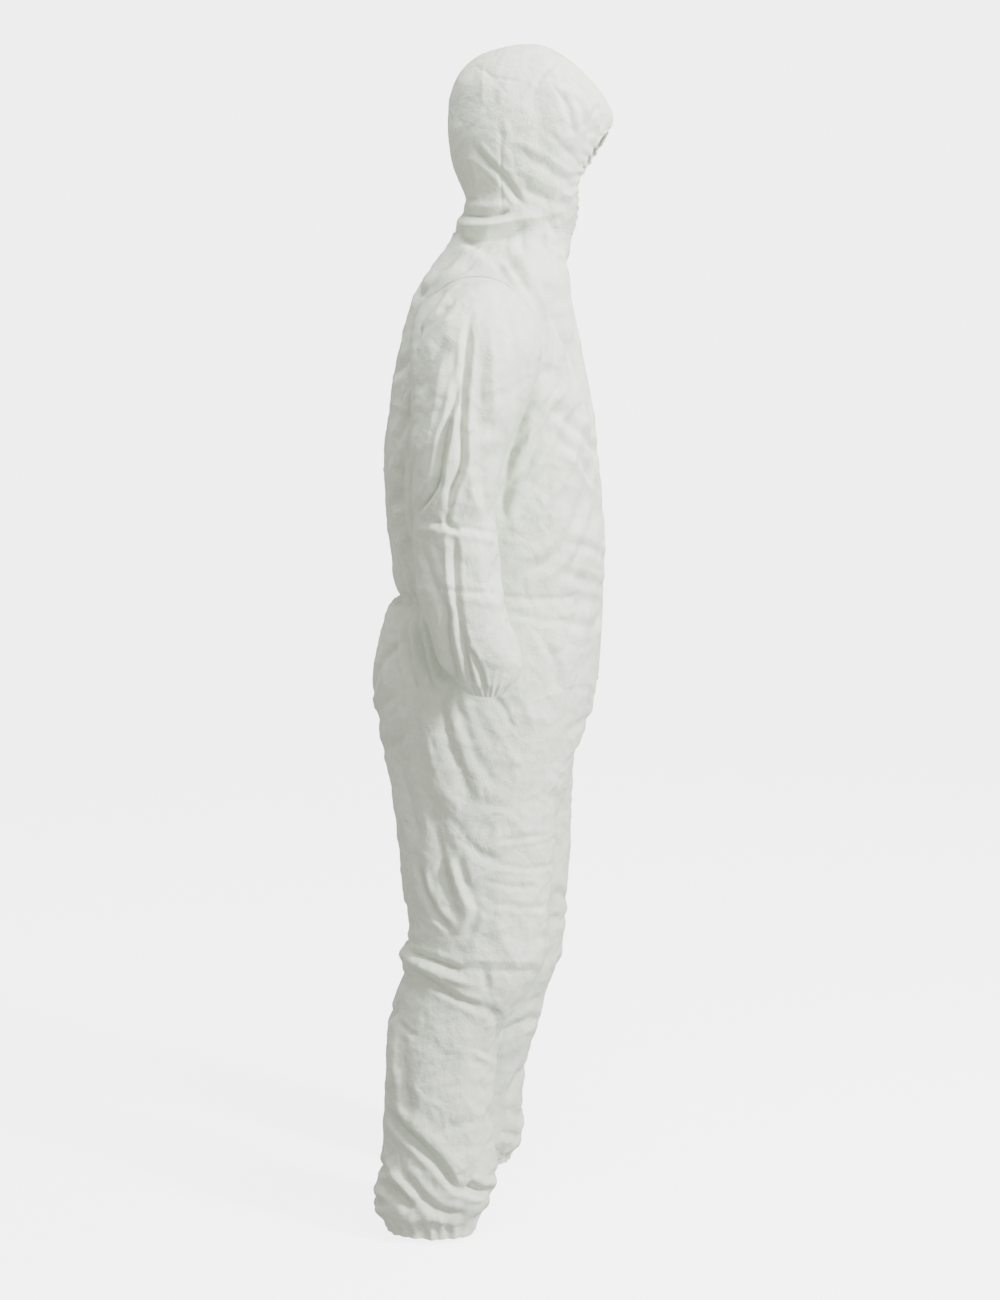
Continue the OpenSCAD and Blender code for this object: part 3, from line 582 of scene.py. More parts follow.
BACK_FOLDS = [
    ("valley", 5, 9, [(28, 1444), (72, 1412), (122, 1396)]),
    ("valley", 6, 9, [(166, 1290), (132, 1240), (102, 1180)]),
    ("valley", 5, 10, [(152, 1332), (102, 1302), (36, 1292)]),
    ("valley", 5, 10, [(58, 1204), (48, 1120), (70, 1040)]),
    ("valley", 6, 10, [(122, 1184), (112, 1100), (126, 1020)]),
    ("ridge", 5, 9, [(92, 1170), (84, 1090), (98, 1020)]),
    ("valley", 4, 10, [(18, 802), (62, 832), (112, 880), (152, 912)]),
    ("valley", 4, 9, [(28, 760), (82, 792), (142, 822)]),
    ("valley", 4, 9, [(58, 728), (112, 740), (162, 772)]),
    ("ridge", 4, 10, [(26, 782), (74, 812), (128, 852)]),
    ("valley", 6, 9, [(78, 566), (108, 522), (142, 484)]),
    ("valley", 4, 7, [(58, 452), (110, 442), (172, 454)]),
    ("valley", 4, 7, [(58, 424), (110, 412), (172, 426)]),
    ("valley", 6, 9, [(78, 362), (122, 332), (162, 352)]),
    ("valley", 7, 8, [(68, 122), (122, 96), (172, 112)]),
    ("valley", 7, 7, [(78, 60), (130, 46), (182, 60)]),
]


def lay(out, view, strokes, share):
    """Adds strokes to the displacement of the points near them, each point by its share."""
    for kind, depth, width, pts in strokes:
        lo, hi = np.min(pts, 0) - 4 * width, np.max(pts, 0) + 4 * width
        near = np.all((view > lo) & (view < hi), axis=1) & (share > 0)
        if near.any():
            out[near] += share[near] * fold(view[near], kind, pts, depth, width)


def folded(v, n, folds):
    """Displacement (mm) that a list of strokes gives; the left side gets the same, shifted a little."""
    p = v.copy()
    left = smooth(v[:, 0], 2, 40)
    p[:, 0] = -np.abs(p[:, 0])
    p[:, 1] += left * leg_shift(v[:, 2])
    view = side_view(p) + left[:, None] * LEFT_DRIFT * lattice(v + 500.0, 160, 61, 2)
    facing = smooth(n[:, 0] * np.sign(v[:, 0] - 0.01), 0.02, 0.3) * 0.75 + 0.25
    out = np.zeros(len(v))
    lay(out, view, folds, np.ones(len(v)))
    out *= facing
    if folds is SLEEVE_FOLDS:
        return out
    flat = np.stack([np.abs(v[:, 0]), v[:, 2]], -1) + (14 * left)[:, None] * lattice(v, 150, 77, 2)
    lay(out, flat, FRONT_FOLDS, smooth(-n[:, 1], 0.3, 0.75))
    lay(out, flat, BACK_FOLDS, smooth(n[:, 1], 0.3, 0.75))
    return out


def leg_shift(z):
    """How far back the right leg stands from the left one at height z (mm)."""
    r, l = along(LEG_R, z), along(LEG_L, z)
    return ((r[:, 0] + r[:, 1]) - (l[:, 0] + l[:, 1])) / 2 * smooth(-z, -800, -650)


def gathers(v, centre, z0, reach, count, depth, seed):
    """Small pleats that an elastic makes, strongest at height z0 and fading over reach (mm)."""
    d = v - np.array(centre)
    ang = np.arctan2(d[:, 1], d[:, 0])
    wob = lattice(v, 45, seed)
    dz = np.abs(v[:, 2] - z0)
    fade = np.exp(-dz / reach)
    a = count * ang + 2.2 * wob
    b = count * 0.55 * ang + 3.0 * wob + 1.3
    uneven = 0.7 + 0.8 * lattice(v, 38, seed + 3)
    return depth * fade * uneven * (0.65 * np.sin(a) + 0.45 * np.sin(b + 0.03 * dz))


def trunk_x(y, z):
    """Half-width of the trunk's surface at y and z (mm)."""
    f, b, w = along(TRUNK, z).T
    t = np.clip(np.abs((y - (f + b) / 2) / ((b - f) / 2)), 0, 0.999)
    return w * (1 - t ** (2 / K_TRUNK)) ** (K_TRUNK / 2)


def from_armhole(p, radius_y, radius_z):
    """Distance of points from the armhole's centre, as a share of the radii."""
    return np.sqrt(((p[:, 1] - ARM_Y) / radius_y) ** 2 + ((p[:, 2] - ARM_Z) / radius_z) ** 2)


def zip_line(z, lift):
    """y of a line that runs lift (mm) before the zip's arc, at height z."""
    return ZIP_Y - np.sqrt((ZIP_R + lift) ** 2 - (z - ZIP_Z) ** 2)


# ---------------------------------------------------------------- the whole suit as one cloth
right_v, right_f, right_i = half_body(-1)
left_v, left_f, left_i = half_body(1)
sr_v, sr_f, sr_i = sleeve_grid(-1)
sl_v, sl_f, sl_i = sleeve_grid(1)
hood_v, hood_f, hood_i = hood_grid()
for v in (sr_v, sl_v):          # the sleeve starts on the trunk's surface, all round the armhole
    x = np.abs(v[:, 0])
    t = smooth(x, 158, 214)
    v[:, 0] = np.sign(v[:, 0]) * ((trunk_x(v[:, 1], v[:, 2]) - 3) * (1 - t) + x * t)
parts = [(right_v, right_f, (-95, 10, 0)), (left_v, left_f, (95, 10, 0)), (sr_v, sr_f, (-252, 40, 0)),
         (sl_v, sl_f, (252, 40, 0)), (hood_v, hood_f, (0, -45, 0))]
V, F, PART, REMAP = weld([(v, outward(v, f, c)) for v, f, c in parts])
START = np.cumsum([0] + [len(v) for v, f, c in parts])


def ids(part, own):
    """Indices in the whole mesh of one grid's own indices."""
    return REMAP[np.array(own) + START[part]]


PIECES = ["torso_right", "torso_left", "leg_upper_right", "leg_upper_left", "leg_lower_right",
          "leg_lower_left", "ankle_hem_right_cloth", "ankle_hem_left_cloth", "sleeve_upper_right_cloth",
          "sleeve_upper_left_cloth", "sleeve_lower_right_cloth", "sleeve_lower_left_cloth",
          "cuff_hem_right_cloth", "cuff_hem_left_cloth", "hood_right", "hood_left"]
quads = np.array([f if len(f) == 4 else f + (f[-1],) for f in F])
mid = V[quads].mean(1)
piece = np.zeros(len(F), int)
for k in (0, 1):
    z = mid[:, 2]
    own = np.where(z > WAIST_Z, 0, np.where(z > SPLIT_Z, 2, np.where(z > HEM_Z, 4, 6))) + k
    piece[PART == k] = own[PART == k]
    own = np.where(z > ELBOW_Z, 8, np.where(z > CUFF_Z, 10, 12)) + k
    piece[PART == 2 + k] = own[PART == 2 + k]
piece[PART == 4] = np.where(mid[PART == 4, 0] < 0, 14, 15)
armhole = from_armhole(mid, 82, 88) < 1
slot = (np.abs(mid[:, 0]) < 7.5) & (mid[:, 1] < 0) & (mid[:, 2] < ZIP_TOP) & (mid[:, 2] > ZIP_BOTTOM)
keep = (PART > 1) | ~((armhole & (np.abs(mid[:, 0]) > 90)) | slot)
F = [f for f, k in zip(F, keep) if k]
piece = piece[keep]


def new_object(name, verts, faces):
    """A mesh object from points in mm."""
    me = bpy.data.meshes.new(name)
    me.from_pydata((np.asarray(verts, float) * MM).tolist(), [], [tuple(map(int, f)) for f in faces])
    me.update()
    ob = bpy.data.objects.new(name, me)
    bpy.context.scene.collection.objects.link(ob)
    return ob


def refine(verts, faces, tag):
    """One smooth subdivision; the first points stay the coarse ones, and each face keeps its tag."""
    ob = new_object("coarse", verts, faces)
    ob.data.polygons.foreach_set("material_index", np.asarray(tag, np.int32))
    for k in range(max(tag) + 1):
        ob.data.materials.append(None)
    m = ob.modifiers.new("fine", "SUBSURF")
    m.levels = m.render_levels = 1
    ev = ob.evaluated_get(bpy.context.evaluated_depsgraph_get())
    me = ev.to_mesh()
    v = np.empty(len(me.vertices) * 3)
    me.vertices.foreach_get("co", v)
    q = np.empty(len(me.loops), np.int32)
    me.loops.foreach_get("vertex_index", q)
    t = np.empty(len(me.polygons), np.int32)
    me.polygons.foreach_get("material_index", t)
    ev.to_mesh_clear()
    me = ob.data
    bpy.data.objects.remove(ob)
    bpy.data.meshes.remove(me)
    return v.reshape(-1, 3) / MM, q.reshape(-1, 4), t


V, Q, TAG = refine(V, F, piece)
N0 = vertex_normals(V, [tuple(q) for q in Q])
of = np.zeros(len(V), int)
for c in range(4):
    of[Q[:, c]] = TAG
body, sleeve, hood = of < 8, (of >= 8) & (of < 14), of >= 14

disp = np.zeros(len(V))
bh = body | hood
disp[bh] = folded(V[bh], N0[bh], BODY_FOLDS + NECK_FOLDS + HOOD_FOLDS)
disp[sleeve] = folded(V[sleeve], N0[sleeve], SLEEVE_FOLDS)
m = body & (V[:, 0] > 0) & (V[:, 2] < 600)
view = side_view(V[m])
for kind, depth, width, pts in FAR_LEG_FOLDS:
    disp[m] += fold(view, kind, pts, depth, width)

# elastics: waist at the back, wrists, ankles, face
back = smooth(V[:, 1], -20, 90)
disp += np.where(body, back * gathers(V, (0, 0, 0), WAIST_Z, 38, 34, 4.5, 11), 0)
disp -= np.where(body, back * 7 * np.exp(-((V[:, 2] - WAIST_Z) / 9.0) ** 2), 0)
for sgn in (-1, 1):
    side = np.sign(V[:, 0]) == sgn
    disp += np.where(sleeve & side, gathers(V, (252 * sgn, 16, 0), WRIST_Z, 15, 24, 2.6, 21 + sgn), 0)
    low = body & side & (V[:, 2] < 300)
    disp += np.where(low, gathers(V, (130 * sgn, 75 - 26 * sgn, 0), ANKLE_Z, 17, 21, 3.6, 31 + sgn), 0)
edge_pts = V[ids(4, hood_i["edge"])]
d_edge = np.full(len(V), 1e3)
d_edge[hood] = np.sqrt(((V[hood][:, None, :] - edge_pts[None]) ** 2).sum(-1)).min(1)
ang_face = np.arctan2(V[:, 2] - FACE_Z, V[:, 0])
disp += np.where(hood, 1.8 * np.exp(-d_edge / 22) * np.sin(30 * ang_face + 2 * lattice(V, 30, 41)), 0)

# broad slack and handling creases everywhere
disp += 2.4 * lattice(V * [1, 1, 0.55], 70, 3) + 1.0 * lattice(V, 34, 4)
crisp = np.where(hood, 0.5, np.where(sleeve, 0.8, 1.0))
disp += crisp * (3.0 * crumple(V * [1, 1, 0.7], 95, 8) + 2.4 * crumple(V, 48, 18) + 1.2 * crumple(V, 24, 28))

# calm where the cloth is sewn: armholes, neck, zip
ring = from_armhole(V, 89, 96)
calm = np.where(body & (np.abs(V[:, 0]) > 90), 0.15 + 0.85 * smooth(np.abs(ring - 1), 0, 0.28), 1)
calm = np.where(sleeve, 0.15 + 0.85 * smooth(np.abs(V[:, 0]) - trunk_x(V[:, 1], V[:, 2]), 0, 38), calm)
by_zip = (V[:, 1] < 0) & body
calm = np.where(by_zip, np.minimum(calm, 0.06 + 0.94 * smooth(np.abs(V[:, 0]), 22, 60)), calm)
V = V + N0 * (disp * calm)[:, None]
# beside the zip the cloth steps down to the tape
arc = zip_line(V[:, 2], 0.8)
run = by_zip * smooth(V[:, 2], 790, ZIP_BOTTOM) * (1 - smooth(V[:, 2], ZIP_TOP, 1470))
V[:, 1] += run * (1 - smooth(np.abs(V[:, 0]), 26, 75)) * (arc - 4.4 - V[:, 1])
V[:, 1] += run * (1 - smooth(np.abs(V[:, 0]), 13, 22)) * (arc - V[:, 1])
ends = np.where(body, 1 - smooth(V[:, 2], 6, 46), np.where(sleeve, 1 - smooth(V[:, 2], 842, 862), 0))
V[:, 2] += ends * np.where(body, 5.5 + 5.5 * lattice(V, 42, 91), 3.5 * lattice(V, 26, 92))
V[:, 2] = np.maximum(V[:, 2], 0.3)
NV = vertex_normals(V, [tuple(q) for q in Q])


# ---------------------------------------------------------------- materials
def material(name, colour, rough, spec, sheen=0.0, through=0.0, fibre=0.0, crinkle=0.0, weave=0.0):
    """A mottled matt material; fibre, crinkle and weave are the strengths of its bumps."""
    mat = bpy.data.materials.new(name)
    mat.use_nodes = True
    nt = mat.node_tree
    nt.nodes.clear()
    N, L = nt.nodes.new, nt.links.new
    out, bsdf, co = N("ShaderNodeOutputMaterial"), N("ShaderNodeBsdfPrincipled"), N("ShaderNodeTexCoord")
    bsdf.inputs["Roughness"].default_value = rough
    bsdf.inputs["Specular IOR Level"].default_value = spec
    bsdf.inputs["Sheen Weight"].default_value = sheen
    mottle, ramp = N("ShaderNodeTexNoise"), N("ShaderNodeMix")
    mottle.inputs["Scale"].default_value = 90
    mottle.inputs["Detail"].default_value = 6
    ramp.data_type = "RGBA"
    ramp.inputs[6].default_value = (*[c * 0.90 for c in colour], 1)
    ramp.inputs[7].default_value = (*[min(1, c * 1.08) for c in colour], 1)
    L(co.outputs["Object"], mottle.inputs["Vector"])
    L(mottle.outputs["Fac"], ramp.inputs[0])
    L(ramp.outputs[2], bsdf.inputs["Base Color"])
    prev = None
    for kind, amount, scale, dist in (("ridge", crinkle, 11, 0.016), ("ridge", crinkle, 30, 0.0055),
                                      ("crease", crinkle, 17, 0.008), ("noise", crinkle, 110, 0.0028),
                                      ("noise", fibre, 420, 0.001),
                                      ("cells", fibre, 620, 0.00025), ("weave", weave, 900, 0.0003)):
        if amount <= 0:
            continue
        bump = N("ShaderNodeBump")
        bump.inputs["Strength"].default_value = amount
        bump.inputs["Distance"].default_value = dist
        if kind in ("noise", "ridge"):
            t = N("ShaderNodeTexNoise")
            t.inputs["Detail"].default_value = 5 if kind == "noise" else 2
            t.inputs["Roughness"].default_value = 0.6 if kind == "noise" else 0.35
            if kind == "ridge":
                t.noise_type = "RIDGED_MULTIFRACTAL"
                t.inputs["Distortion"].default_value = 0.6
            h = t.outputs["Fac"]
        elif kind == "crease":          # a net of pressed lines, bent by noise
            t, bend, add = N("ShaderNodeTexVoronoi"), N("ShaderNodeTexNoise"), N("ShaderNodeMixRGB")
            t.feature = "DISTANCE_TO_EDGE"
            bend.inputs["Scale"].default_value = 9
            add.blend_type = "ADD"
            add.inputs[0].default_value = 0.09
            L(co.outputs["Object"], bend.inputs["Vector"])
            L(co.outputs["Object"], add.inputs[1])
            L(bend.outputs["Color"], add.inputs[2])
            clip = N("ShaderNodeMath")
            clip.operation = "MINIMUM"
            clip.inputs[1].default_value = 0.22
            L(t.outputs["Distance"], clip.inputs[0])
            h = clip.outputs[0]
        elif kind == "cells":
            t = N("ShaderNodeTexVoronoi")
            h = t.outputs["Distance"]
        else:
            t = N("ShaderNodeTexWave")
            h = t.outputs["Fac"]
        t.inputs["Scale"].default_value = scale
        L(add.outputs[0] if kind == "crease" else co.outputs["Object"], t.inputs["Vector"])
        L(h, bump.inputs["Height"])
        if prev:
            L(prev.outputs["Normal"], bump.inputs["Normal"])
        prev = bump
    if prev:
        L(prev.outputs["Normal"], bsdf.inputs["Normal"])
    shader = bsdf.outputs[0]
    if through > 0:
        mix, tr = N("ShaderNodeMixShader"), N("ShaderNodeBsdfTranslucent")
        mix.inputs[0].default_value = through
        L(ramp.outputs[2], tr.inputs["Color"])
        L(bsdf.outputs[0], mix.inputs[1])
        L(tr.outputs[0], mix.inputs[2])
        shader = mix.outputs[0]
    L(shader, out.inputs["Surface"])
    return mat


CLOTH = (0.698, 0.744, 0.628)
NONWOVEN = dict(spec=0.35, sheen=0.05, fibre=0.6, crinkle=0.6)
YARN = dict(spec=0.2, sheen=0.1)
MATS = {
    "nonwoven_panel": material("nonwoven_panel", CLOTH, 0.72, through=0.12, **NONWOVEN),
    "nonwoven_hem": material("nonwoven_hem", [c * 1.02 for c in CLOTH], 0.75, through=0.06, **NONWOVEN),
    "serging_thread": material("serging_thread", (0.7, 0.72, 0.68), 0.85, fibre=0.3, weave=0.6, **YARN),
    "elastic_band": material("elastic_band", (0.78, 0.79, 0.76), 0.85, weave=0.8, **YARN),
    "zip_tape": material("zip_tape", (0.72, 0.73, 0.7), 0.85, weave=0.8, **YARN),
    "zip_plastic": material("zip_plastic", (0.8, 0.81, 0.79), 0.35, 0.45, fibre=0.1),
}


def finish_piece(ob, slot_name, normals=None):
    """Smooth shading, the cloth's own normals where given, and the material of a slot."""
    ob.data.materials.clear()
    ob.data.materials.append(MATS[slot_name])
    ob.data.polygons.foreach_set("use_smooth", np.ones(len(ob.data.polygons), bool))
    if normals is not None:
        ob.data.normals_split_custom_set_from_vertices(np.asarray(normals).tolist())
    return ob


SHIFT = np.array([0.0, -11.0, 0.0])         # from the rows' y to the CAD's
OBJ = {}
for k, name in enumerate(PIECES):
    q = Q[TAG == k]
    used, inv = np.unique(q, return_inverse=True)
    ob = new_object(name, V[used] + SHIFT, inv.reshape(-1, 4))
    OBJ[name] = finish_piece(ob, "nonwoven_hem" if "hem" in name else "nonwoven_panel", NV[used])


# ---------------------------------------------------------------- seams, hems, elastics
def tube(name, path, radius, slot_name, closed=False, sides=8, bumps=0.0, pitch=2.2):
    """A soft tube along a path (mm); bumps make it look stitched."""
    path = np.asarray(path, float)
    if closed:
        path = np.vstack([path, path[:1]])
    path = smooth_path(path, 4)
    d = np.gradient(path, axis=0)
    d /= np.maximum(np.linalg.norm(d, axis=1, keepdims=True), 1e-9)
    run = np.concatenate([[0], np.cumsum(np.linalg.norm(np.diff(path, axis=0), axis=1))])
    ref = np.array([0.3, 1.0, 0.2]) if abs(d[:, 1]).mean() < 0.7 else np.array([1.0, 0.1, 0.2])
    u = np.cross(d, ref)
    u /= np.maximum(np.linalg.norm(u, axis=1, keepdims=True), 1e-9)
    w = np.cross(d, u)
    a = 2 * np.pi * np.arange(sides) / sides
    r = radius * (1 + bumps * np.sin(2 * np.pi * run / pitch))[:, None, None]
    pts = path[:, None] + r * (np.cos(a)[None, :, None] * u[:, None] + np.sin(a)[None, :, None] * w[:, None])
    n = len(path)
    f = [(i * sides + j, i * sides + (j + 1) % sides, (i + 1) * sides + (j + 1) % sides, (i + 1) * sides + j)
         for i in range(n - 1) for j in range(sides)]
    f += [tuple(range(sides))[::-1], tuple((n - 1) * sides + j for j in range(sides))]
    return finish_piece(new_object(name, pts.reshape(-1, 3) + SHIFT, f), slot_name)


def on_cloth(i, lift):
    """The cloth's points i, lifted off it (mm)."""
    return V[i] + lift * NV[i]


def band(name, rows, slot_name, inset, closed):
    """A strip of elastic on the cloth's inner side, through rows of the cloth's own points."""
    p = np.array([on_cloth(r, -inset) for r in rows])
    n, m = p.shape[:2]
    f = [(i * m + j, i * m + (j + 1) % m, (i + 1) * m + (j + 1) % m, (i + 1) * m + j)
         for i in range(n - 1) for j in range(m if closed else m - 1)]
    return finish_piece(new_object(name, p.reshape(-1, 3) + SHIFT, f), slot_name)


def zcut(i, lo, hi):
    """Those of the points i that lie between two heights."""
    z = V[i][:, 2]
    return i[(z <= hi) & (z >= lo)]


SEAM = dict(slot_name="serging_thread", bumps=0.12)
ARMHOLE_PROUD = 2.64        # how far the armhole's seam stands out from the body, mm
WAIST_BACK = int(OUT * 0.42)    # the column where the waist's elastic starts
seam = {}
r_back, r_front = ids(0, right_i["back"]), ids(0, right_i["front"])
seam["centre_back_seam"] = tube("centre_back_seam_thread", on_cloth(r_back[1:], -0.2), 1.1, **SEAM)
low = zcut(r_front, 0, ZIP_BOTTOM - 6)
crotch = ids(0, right_i["crotch"])
seam["centre_front_seam"] = tube("centre_front_seam_thread", np.vstack(
    [on_cloth(low, -0.2), on_cloth(crotch[::-1][1:], -0.2)]), 1.1, **SEAM)
neck = np.concatenate([ids(0, right_i["neck"]), ids(1, right_i["neck"])[::-1][1:]])
seam["neck_seam"] = tube("neck_seam_thread", on_cloth(neck, -0.6), 1.2, **SEAM)
top_line = np.concatenate([ids(4, hood_i["front"])[::-1], [ids(4, hood_i["top"])], ids(4, hood_i["back"])])
top_line = top_line[np.append(True, np.diff(top_line) != 0)]
seam["hood_centre_seam"] = tube("hood_centre_seam_thread", on_cloth(top_line, -0.2), 1.0, **SEAM)
for k, side in enumerate(("right", "left")):
    info, si = (right_i, left_i)[k], (sr_i, sl_i)[k]
    line = ids(k, info["inseam"])
    for part, lo, hi in (("thigh", SPLIT_Z, 800), ("shin", 3, SPLIT_Z + 1)):
        seam[f"{part}_inseam_{side}"] = tube(f"{part}_inseam_{side}_thread",
                                             on_cloth(zcut(line, lo, hi), -0.2), 1.0, **SEAM)
    n, c = si["n"], si["cols"]
    grid = ids(2 + k, np.arange(n * c)).reshape(n, c)
    seam["armhole_seam_" + side] = tube(f"armhole_seam_{side}_thread",
                                        on_cloth(grid[0], 0) + [ARMHOLE_PROUD * (-1) ** (k + 1), 0, 0],
                                        1.3, closed=True, **SEAM)
    under = zcut(grid[:, c // 4 * 3], 838, 1200)
    seam["sleeve_seam_" + side] = tube(f"sleeve_seam_{side}_thread", on_cloth(under, -0.2), 1.0, **SEAM)
    zs = V[grid].mean(1)[:, 2]
    rows = [grid[i] for i in range(n) if 841 < zs[i] < 854]
    seam["wrist_elastic_" + side] = band(f"wrist_elastic_{side}_band", rows, "elastic_band", 1.5, True)
    ring_rows = [ids(k, row) for row in info["rings"]]
    rows = [r for r in ring_rows if 6 < V[r][:, 2].mean() < 22]
    seam["ankle_elastic_" + side] = band(f"ankle_elastic_{side}_band", rows, "elastic_band", 1.5, True)
wide = []
for i in right_i["at_waist"]:
    a = ids(0, [i * (OUT + 1) + j for j in range(WAIST_BACK, OUT + 1)])
    b = ids(1, [i * (OUT + 1) + j for j in range(OUT, WAIST_BACK - 1, -1)])[1:]
    wide.append(np.concatenate([a, b]))
seam["waist_elastic"] = band("waist_elastic_band", wide, "elastic_band", 1.8, False)
face = ids(4, hood_i["edge"])
face = face[np.append(True, np.diff(face) != 0)]
path = V[face] + np.array([0, 2.5, 0])
seam["hood_face_hem"] = tube("hood_face_hem_roll", path, 2.8, "nonwoven_hem", sides=10, bumps=0.16, pitch=9.0)
inner = V[face] * [0.96, 1, 1] + [0, 7.5, 0]
seam["hood_face_elastic"] = tube("hood_face_elastic_cord", inner, 1.6, "elastic_band", sides=6)
for node, ob in seam.items():
    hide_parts(node)

# storm flap
rows_z = np.linspace(ZIP_TOP + 1, 828, 90)
cols_x = np.linspace(-24, 24, 15)
flap = np.zeros((len(rows_z), len(cols_x), 3))
for i, z in enumerate(rows_z):
    for j, x in enumerate(cols_x):
        out = 6.7 - (0.9 if x < 0 else 0.3) * smooth(abs(x), 17, 24)
        flap[i, j] = (x, zip_line(z, out), z)
fp = flap.reshape(-1, 3)
fp[:, 1] -= 1.4 * np.abs(lattice(fp, 60, 71)) * smooth(fp[:, 0], -24, 10) + 0.3 * lattice(fp, 20, 72)
fp[:, 0] += 0.8 * lattice(fp, 50, 73)
W = len(cols_x)
ff = [(i * W + j, i * W + j + 1, (i + 1) * W + j + 1, (i + 1) * W + j)
      for i in range(len(rows_z) - 1) for j in range(W - 1)]
flap_ob = finish_piece(new_object("storm_flap_cloth", fp + SHIFT, ff), "nonwoven_panel")
m = flap_ob.modifiers.new("thick", "SOLIDIFY")
m.thickness = 0.0012
m.offset = 0
bpy.context.view_layer.objects.active = flap_ob
flap_ob.select_set(True)
bpy.ops.object.modifier_apply(modifier=m.name)
flap_ob.select_set(False)
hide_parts("storm_flap")

# ---------------------------------------------------------------- what each piece stands for and how it moves
Y = SHIFT[1] * MM


def joint_line(name):
    return next(j for j in frame["record"]["behaviour"]["joints"] if j["name"] == name)["pos_m"]


for name in ("torso_right", "torso_left"):
    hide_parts(name + "_panel")
    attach(OBJ[name], "torso")
for k, side in enumerate(("right", "left")):
    hx, hy = joint_line("hip_" + side)[:2]
    kx, ky = joint_line("knee_" + side)[:2]
    ex, ey = joint_line("elbow_" + side)[:2]
    sx = (-1, 1)[k]
    upper = dict(a="torso", b="thigh_" + side, start=(hx, hy, 0.80), end=(hx, hy, 0.62))
    lower = dict(a="thigh_" + side, b="shin_" + side, start=(kx, ky, 0.52), end=(kx, ky, 0.36))
    arm = dict(a="torso", b="sleeve_" + side, start=(0.135 * sx, 0.02, 1.325), end=(0.24 * sx, 0.02, 1.325))
    elbow = dict(a="sleeve_" + side, b="forearm_" + side, start=(ex, ey, 1.14), end=(ex, ey, 1.02))
    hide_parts(f"hip_{side}_panel", "hip_fold_" + side, f"thigh_{side}_panel")
    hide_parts("knee_fold_" + side, f"shin_{side}_panel")
    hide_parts("ankle_hem_" + side)
    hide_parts("sleeve_upper_" + side)
    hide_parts("elbow_fold_" + side, "sleeve_lower_" + side)
    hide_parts("cuff_hem_" + side)
    for ob, b in ((OBJ["leg_upper_" + side], upper), (seam["thigh_inseam_" + side], upper),
                  (OBJ["leg_lower_" + side], lower), (seam["shin_inseam_" + side], lower),
                  (OBJ[f"sleeve_upper_{side}_cloth"], arm),
                  (OBJ[f"sleeve_lower_{side}_cloth"], elbow), (seam["sleeve_seam_" + side], elbow)):
        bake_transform(ob)
    for ob in (OBJ[f"ankle_hem_{side}_cloth"], seam["ankle_elastic_" + side]):
        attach(ob, "shin_" + side)
    for ob in (OBJ[f"cuff_hem_{side}_cloth"], seam["wrist_elastic_" + side]):
        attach(ob, "forearm_" + side)
    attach(seam["armhole_seam_" + side], "torso")
    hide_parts(f"hood_{side}_panel")
    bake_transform(OBJ["hood_" + side])
for node in ("centre_back_seam", "centre_front_seam", "neck_seam", "waist_elastic"):
    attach(seam[node], "torso")
for node in ("hood_centre_seam", "hood_face_hem", "hood_face_elastic"):
    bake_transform(seam[node])
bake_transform(flap_ob)


# flat width, length and area of each cut (m, square m), how it is held and what it hangs from
CUTS = {"torso": (0.56, 0.56, 0.272, "hung", "neck_seam_thread"),
        "leg_upper": (0.62, 0.46, 0.276, "hung", "torso_{}"),
        "leg_lower": (0.58, 0.56, 0.318, "hung", "leg_upper_{}"),
        "ankle_hem": (0.50, 0.038, None, "gathered", "leg_lower_{}"),
        "sleeve_upper": (0.46, 0.30, 0.127, "hung", "torso_{}"),
        "sleeve_lower": (0.40, 0.31, 0.121, "hung", "sleeve_upper_{}_cloth"),
        "cuff_hem": (0.27, 0.028, None, "gathered", "sleeve_lower_{}_cloth"),
        "hood": (0.26, 0.40, 0.094, "draped", "neck_seam_thread")}
for name, ob in OBJ.items():
    w, l, cut, held, on = CUTS[next(k for k in CUTS if name.startswith(k))]
    on = on.format("right" if "right" in name else "left")

# CAD pieces that keep their own shape
for node, slot_name in (("zip_tape_right", "zip_tape"), ("zip_tape_left", "zip_tape"),
                        ("zip_coil_right", "zip_plastic"), ("zip_coil_left", "zip_plastic"),
                        ("zip_top_stops", "zip_plastic"), ("zip_bottom_stop", "zip_plastic"),
                        ("zip_slider", "zip_plastic"), ("zip_pull", "zip_plastic")):
    ob = bpy.data.objects[node]
    for ms in ob.material_slots:
        ms.material = MATS[slot_name]

# ---------------------------------------------------------------- stage, light, camera
def glow(name, colour, strength, diffuse=0.0):
    mat = bpy.data.materials.new(name)
    mat.use_nodes = True
    nt = mat.node_tree
    nt.nodes.clear()
    out, em = nt.nodes.new("ShaderNodeOutputMaterial"), nt.nodes.new("ShaderNodeEmission")
    em.inputs["Color"].default_value = (*colour, 1)
    em.inputs["Strength"].default_value = strength
    shader = em.outputs[0]
    if diffuse:
        add, di = nt.nodes.new("ShaderNodeAddShader"), nt.nodes.new("ShaderNodeBsdfDiffuse")
        di.inputs["Color"].default_value = (*[c * diffuse for c in colour], 1)
        nt.links.new(shader, add.inputs[0])
        nt.links.new(di.outputs[0], add.inputs[1])
        shader = add.outputs[0]
    nt.links.new(shader, out.inputs["Surface"])
    return mat


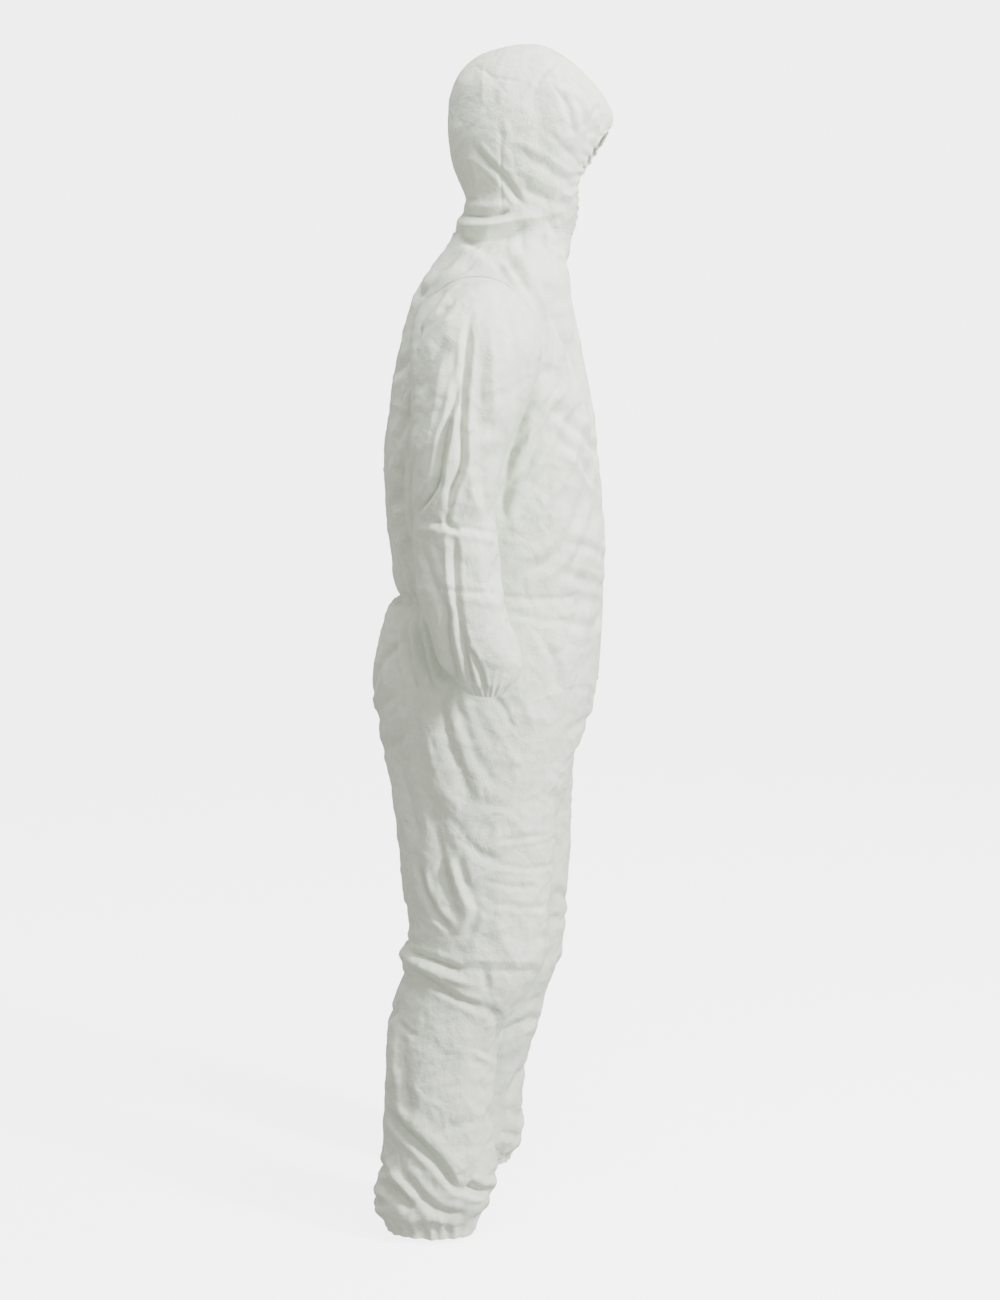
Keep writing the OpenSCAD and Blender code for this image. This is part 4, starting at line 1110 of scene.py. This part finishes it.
PALE = (1.0, 1.0, 1.0)
RIM = [(math.cos(a), math.sin(a)) for a in np.radians(range(0, 360, 10))]
floor = new_object("floor", [(40000 * x, 40000 * y, -1) for x, y in RIM], [tuple(range(36))])
floor.data.materials.append(glow("floor", PALE, FLOOR_GLOW, 0.5))
dome = new_object("backdrop", [(45000 * x, 45000 * y, z) for z in (-900, 60000) for x, y in RIM],
                  [(i, (i + 1) % 36, 36 + (i + 1) % 36, 36 + i) for i in range(36)])
dome.data.materials.append(glow("backdrop", PALE, BACK_GLOW))
for ob in (floor, dome):
    ob.visible_shadow = False
for ray in ("visible_diffuse", "visible_glossy", "visible_transmission"):
    setattr(dome, ray, False)
    setattr(floor, ray, False)
world = bpy.context.scene.world or bpy.data.worlds.new("world")
bpy.context.scene.world = world
world.use_nodes = True
bg = world.node_tree.nodes["Background"]
bg.inputs["Color"].default_value = (1.0, 1.0, 0.985, 1)
bg.inputs["Strength"].default_value = 0.68


def softbox(name, at, to, size, watts):
    li = bpy.data.lights.new(name, "AREA")
    li.shape, li.size, li.size_y = "RECTANGLE", size[0], size[1]
    li.energy = watts
    ob = bpy.data.objects.new(name, li)
    bpy.context.scene.collection.objects.link(ob)
    ob.location = at
    ob.rotation_euler = (Vector(to) - Vector(at)).to_track_quat("-Z", "Y").to_euler()


softbox("key", (-1.8, -2.9, 2.7), (0, 0, 0.9), (0.5, 0.9), 390)
softbox("top", (-0.9, -0.3, 3.4), (0, 0, 1.0), (0.9, 0.9), 90)
softbox("low", (-2.6, -1.2, 0.7), (0, 0, 0.4), (0.8, 0.8), 22)
softbox("rim", (0.8, 2.6, 1.6), (0, 0, 0.9), (0.8, 1.8), 14)
cam = bpy.data.objects.new("camera", bpy.data.cameras.new("camera"))
bpy.context.scene.collection.objects.link(cam)
cam.location = (VIEW_AT[0], Y, VIEW_AT[2])
cam.rotation_euler = (Vector((0, Y, 0.88)) - cam.location).to_track_quat("-Z", "Y").to_euler()
cam.data.lens = LENS
cam.data.sensor_width = SENSOR
cam.data.sensor_fit = "AUTO"
cam.data.shift_x, cam.data.shift_y = 0.0015, -0.0045
bpy.context.scene.camera = cam
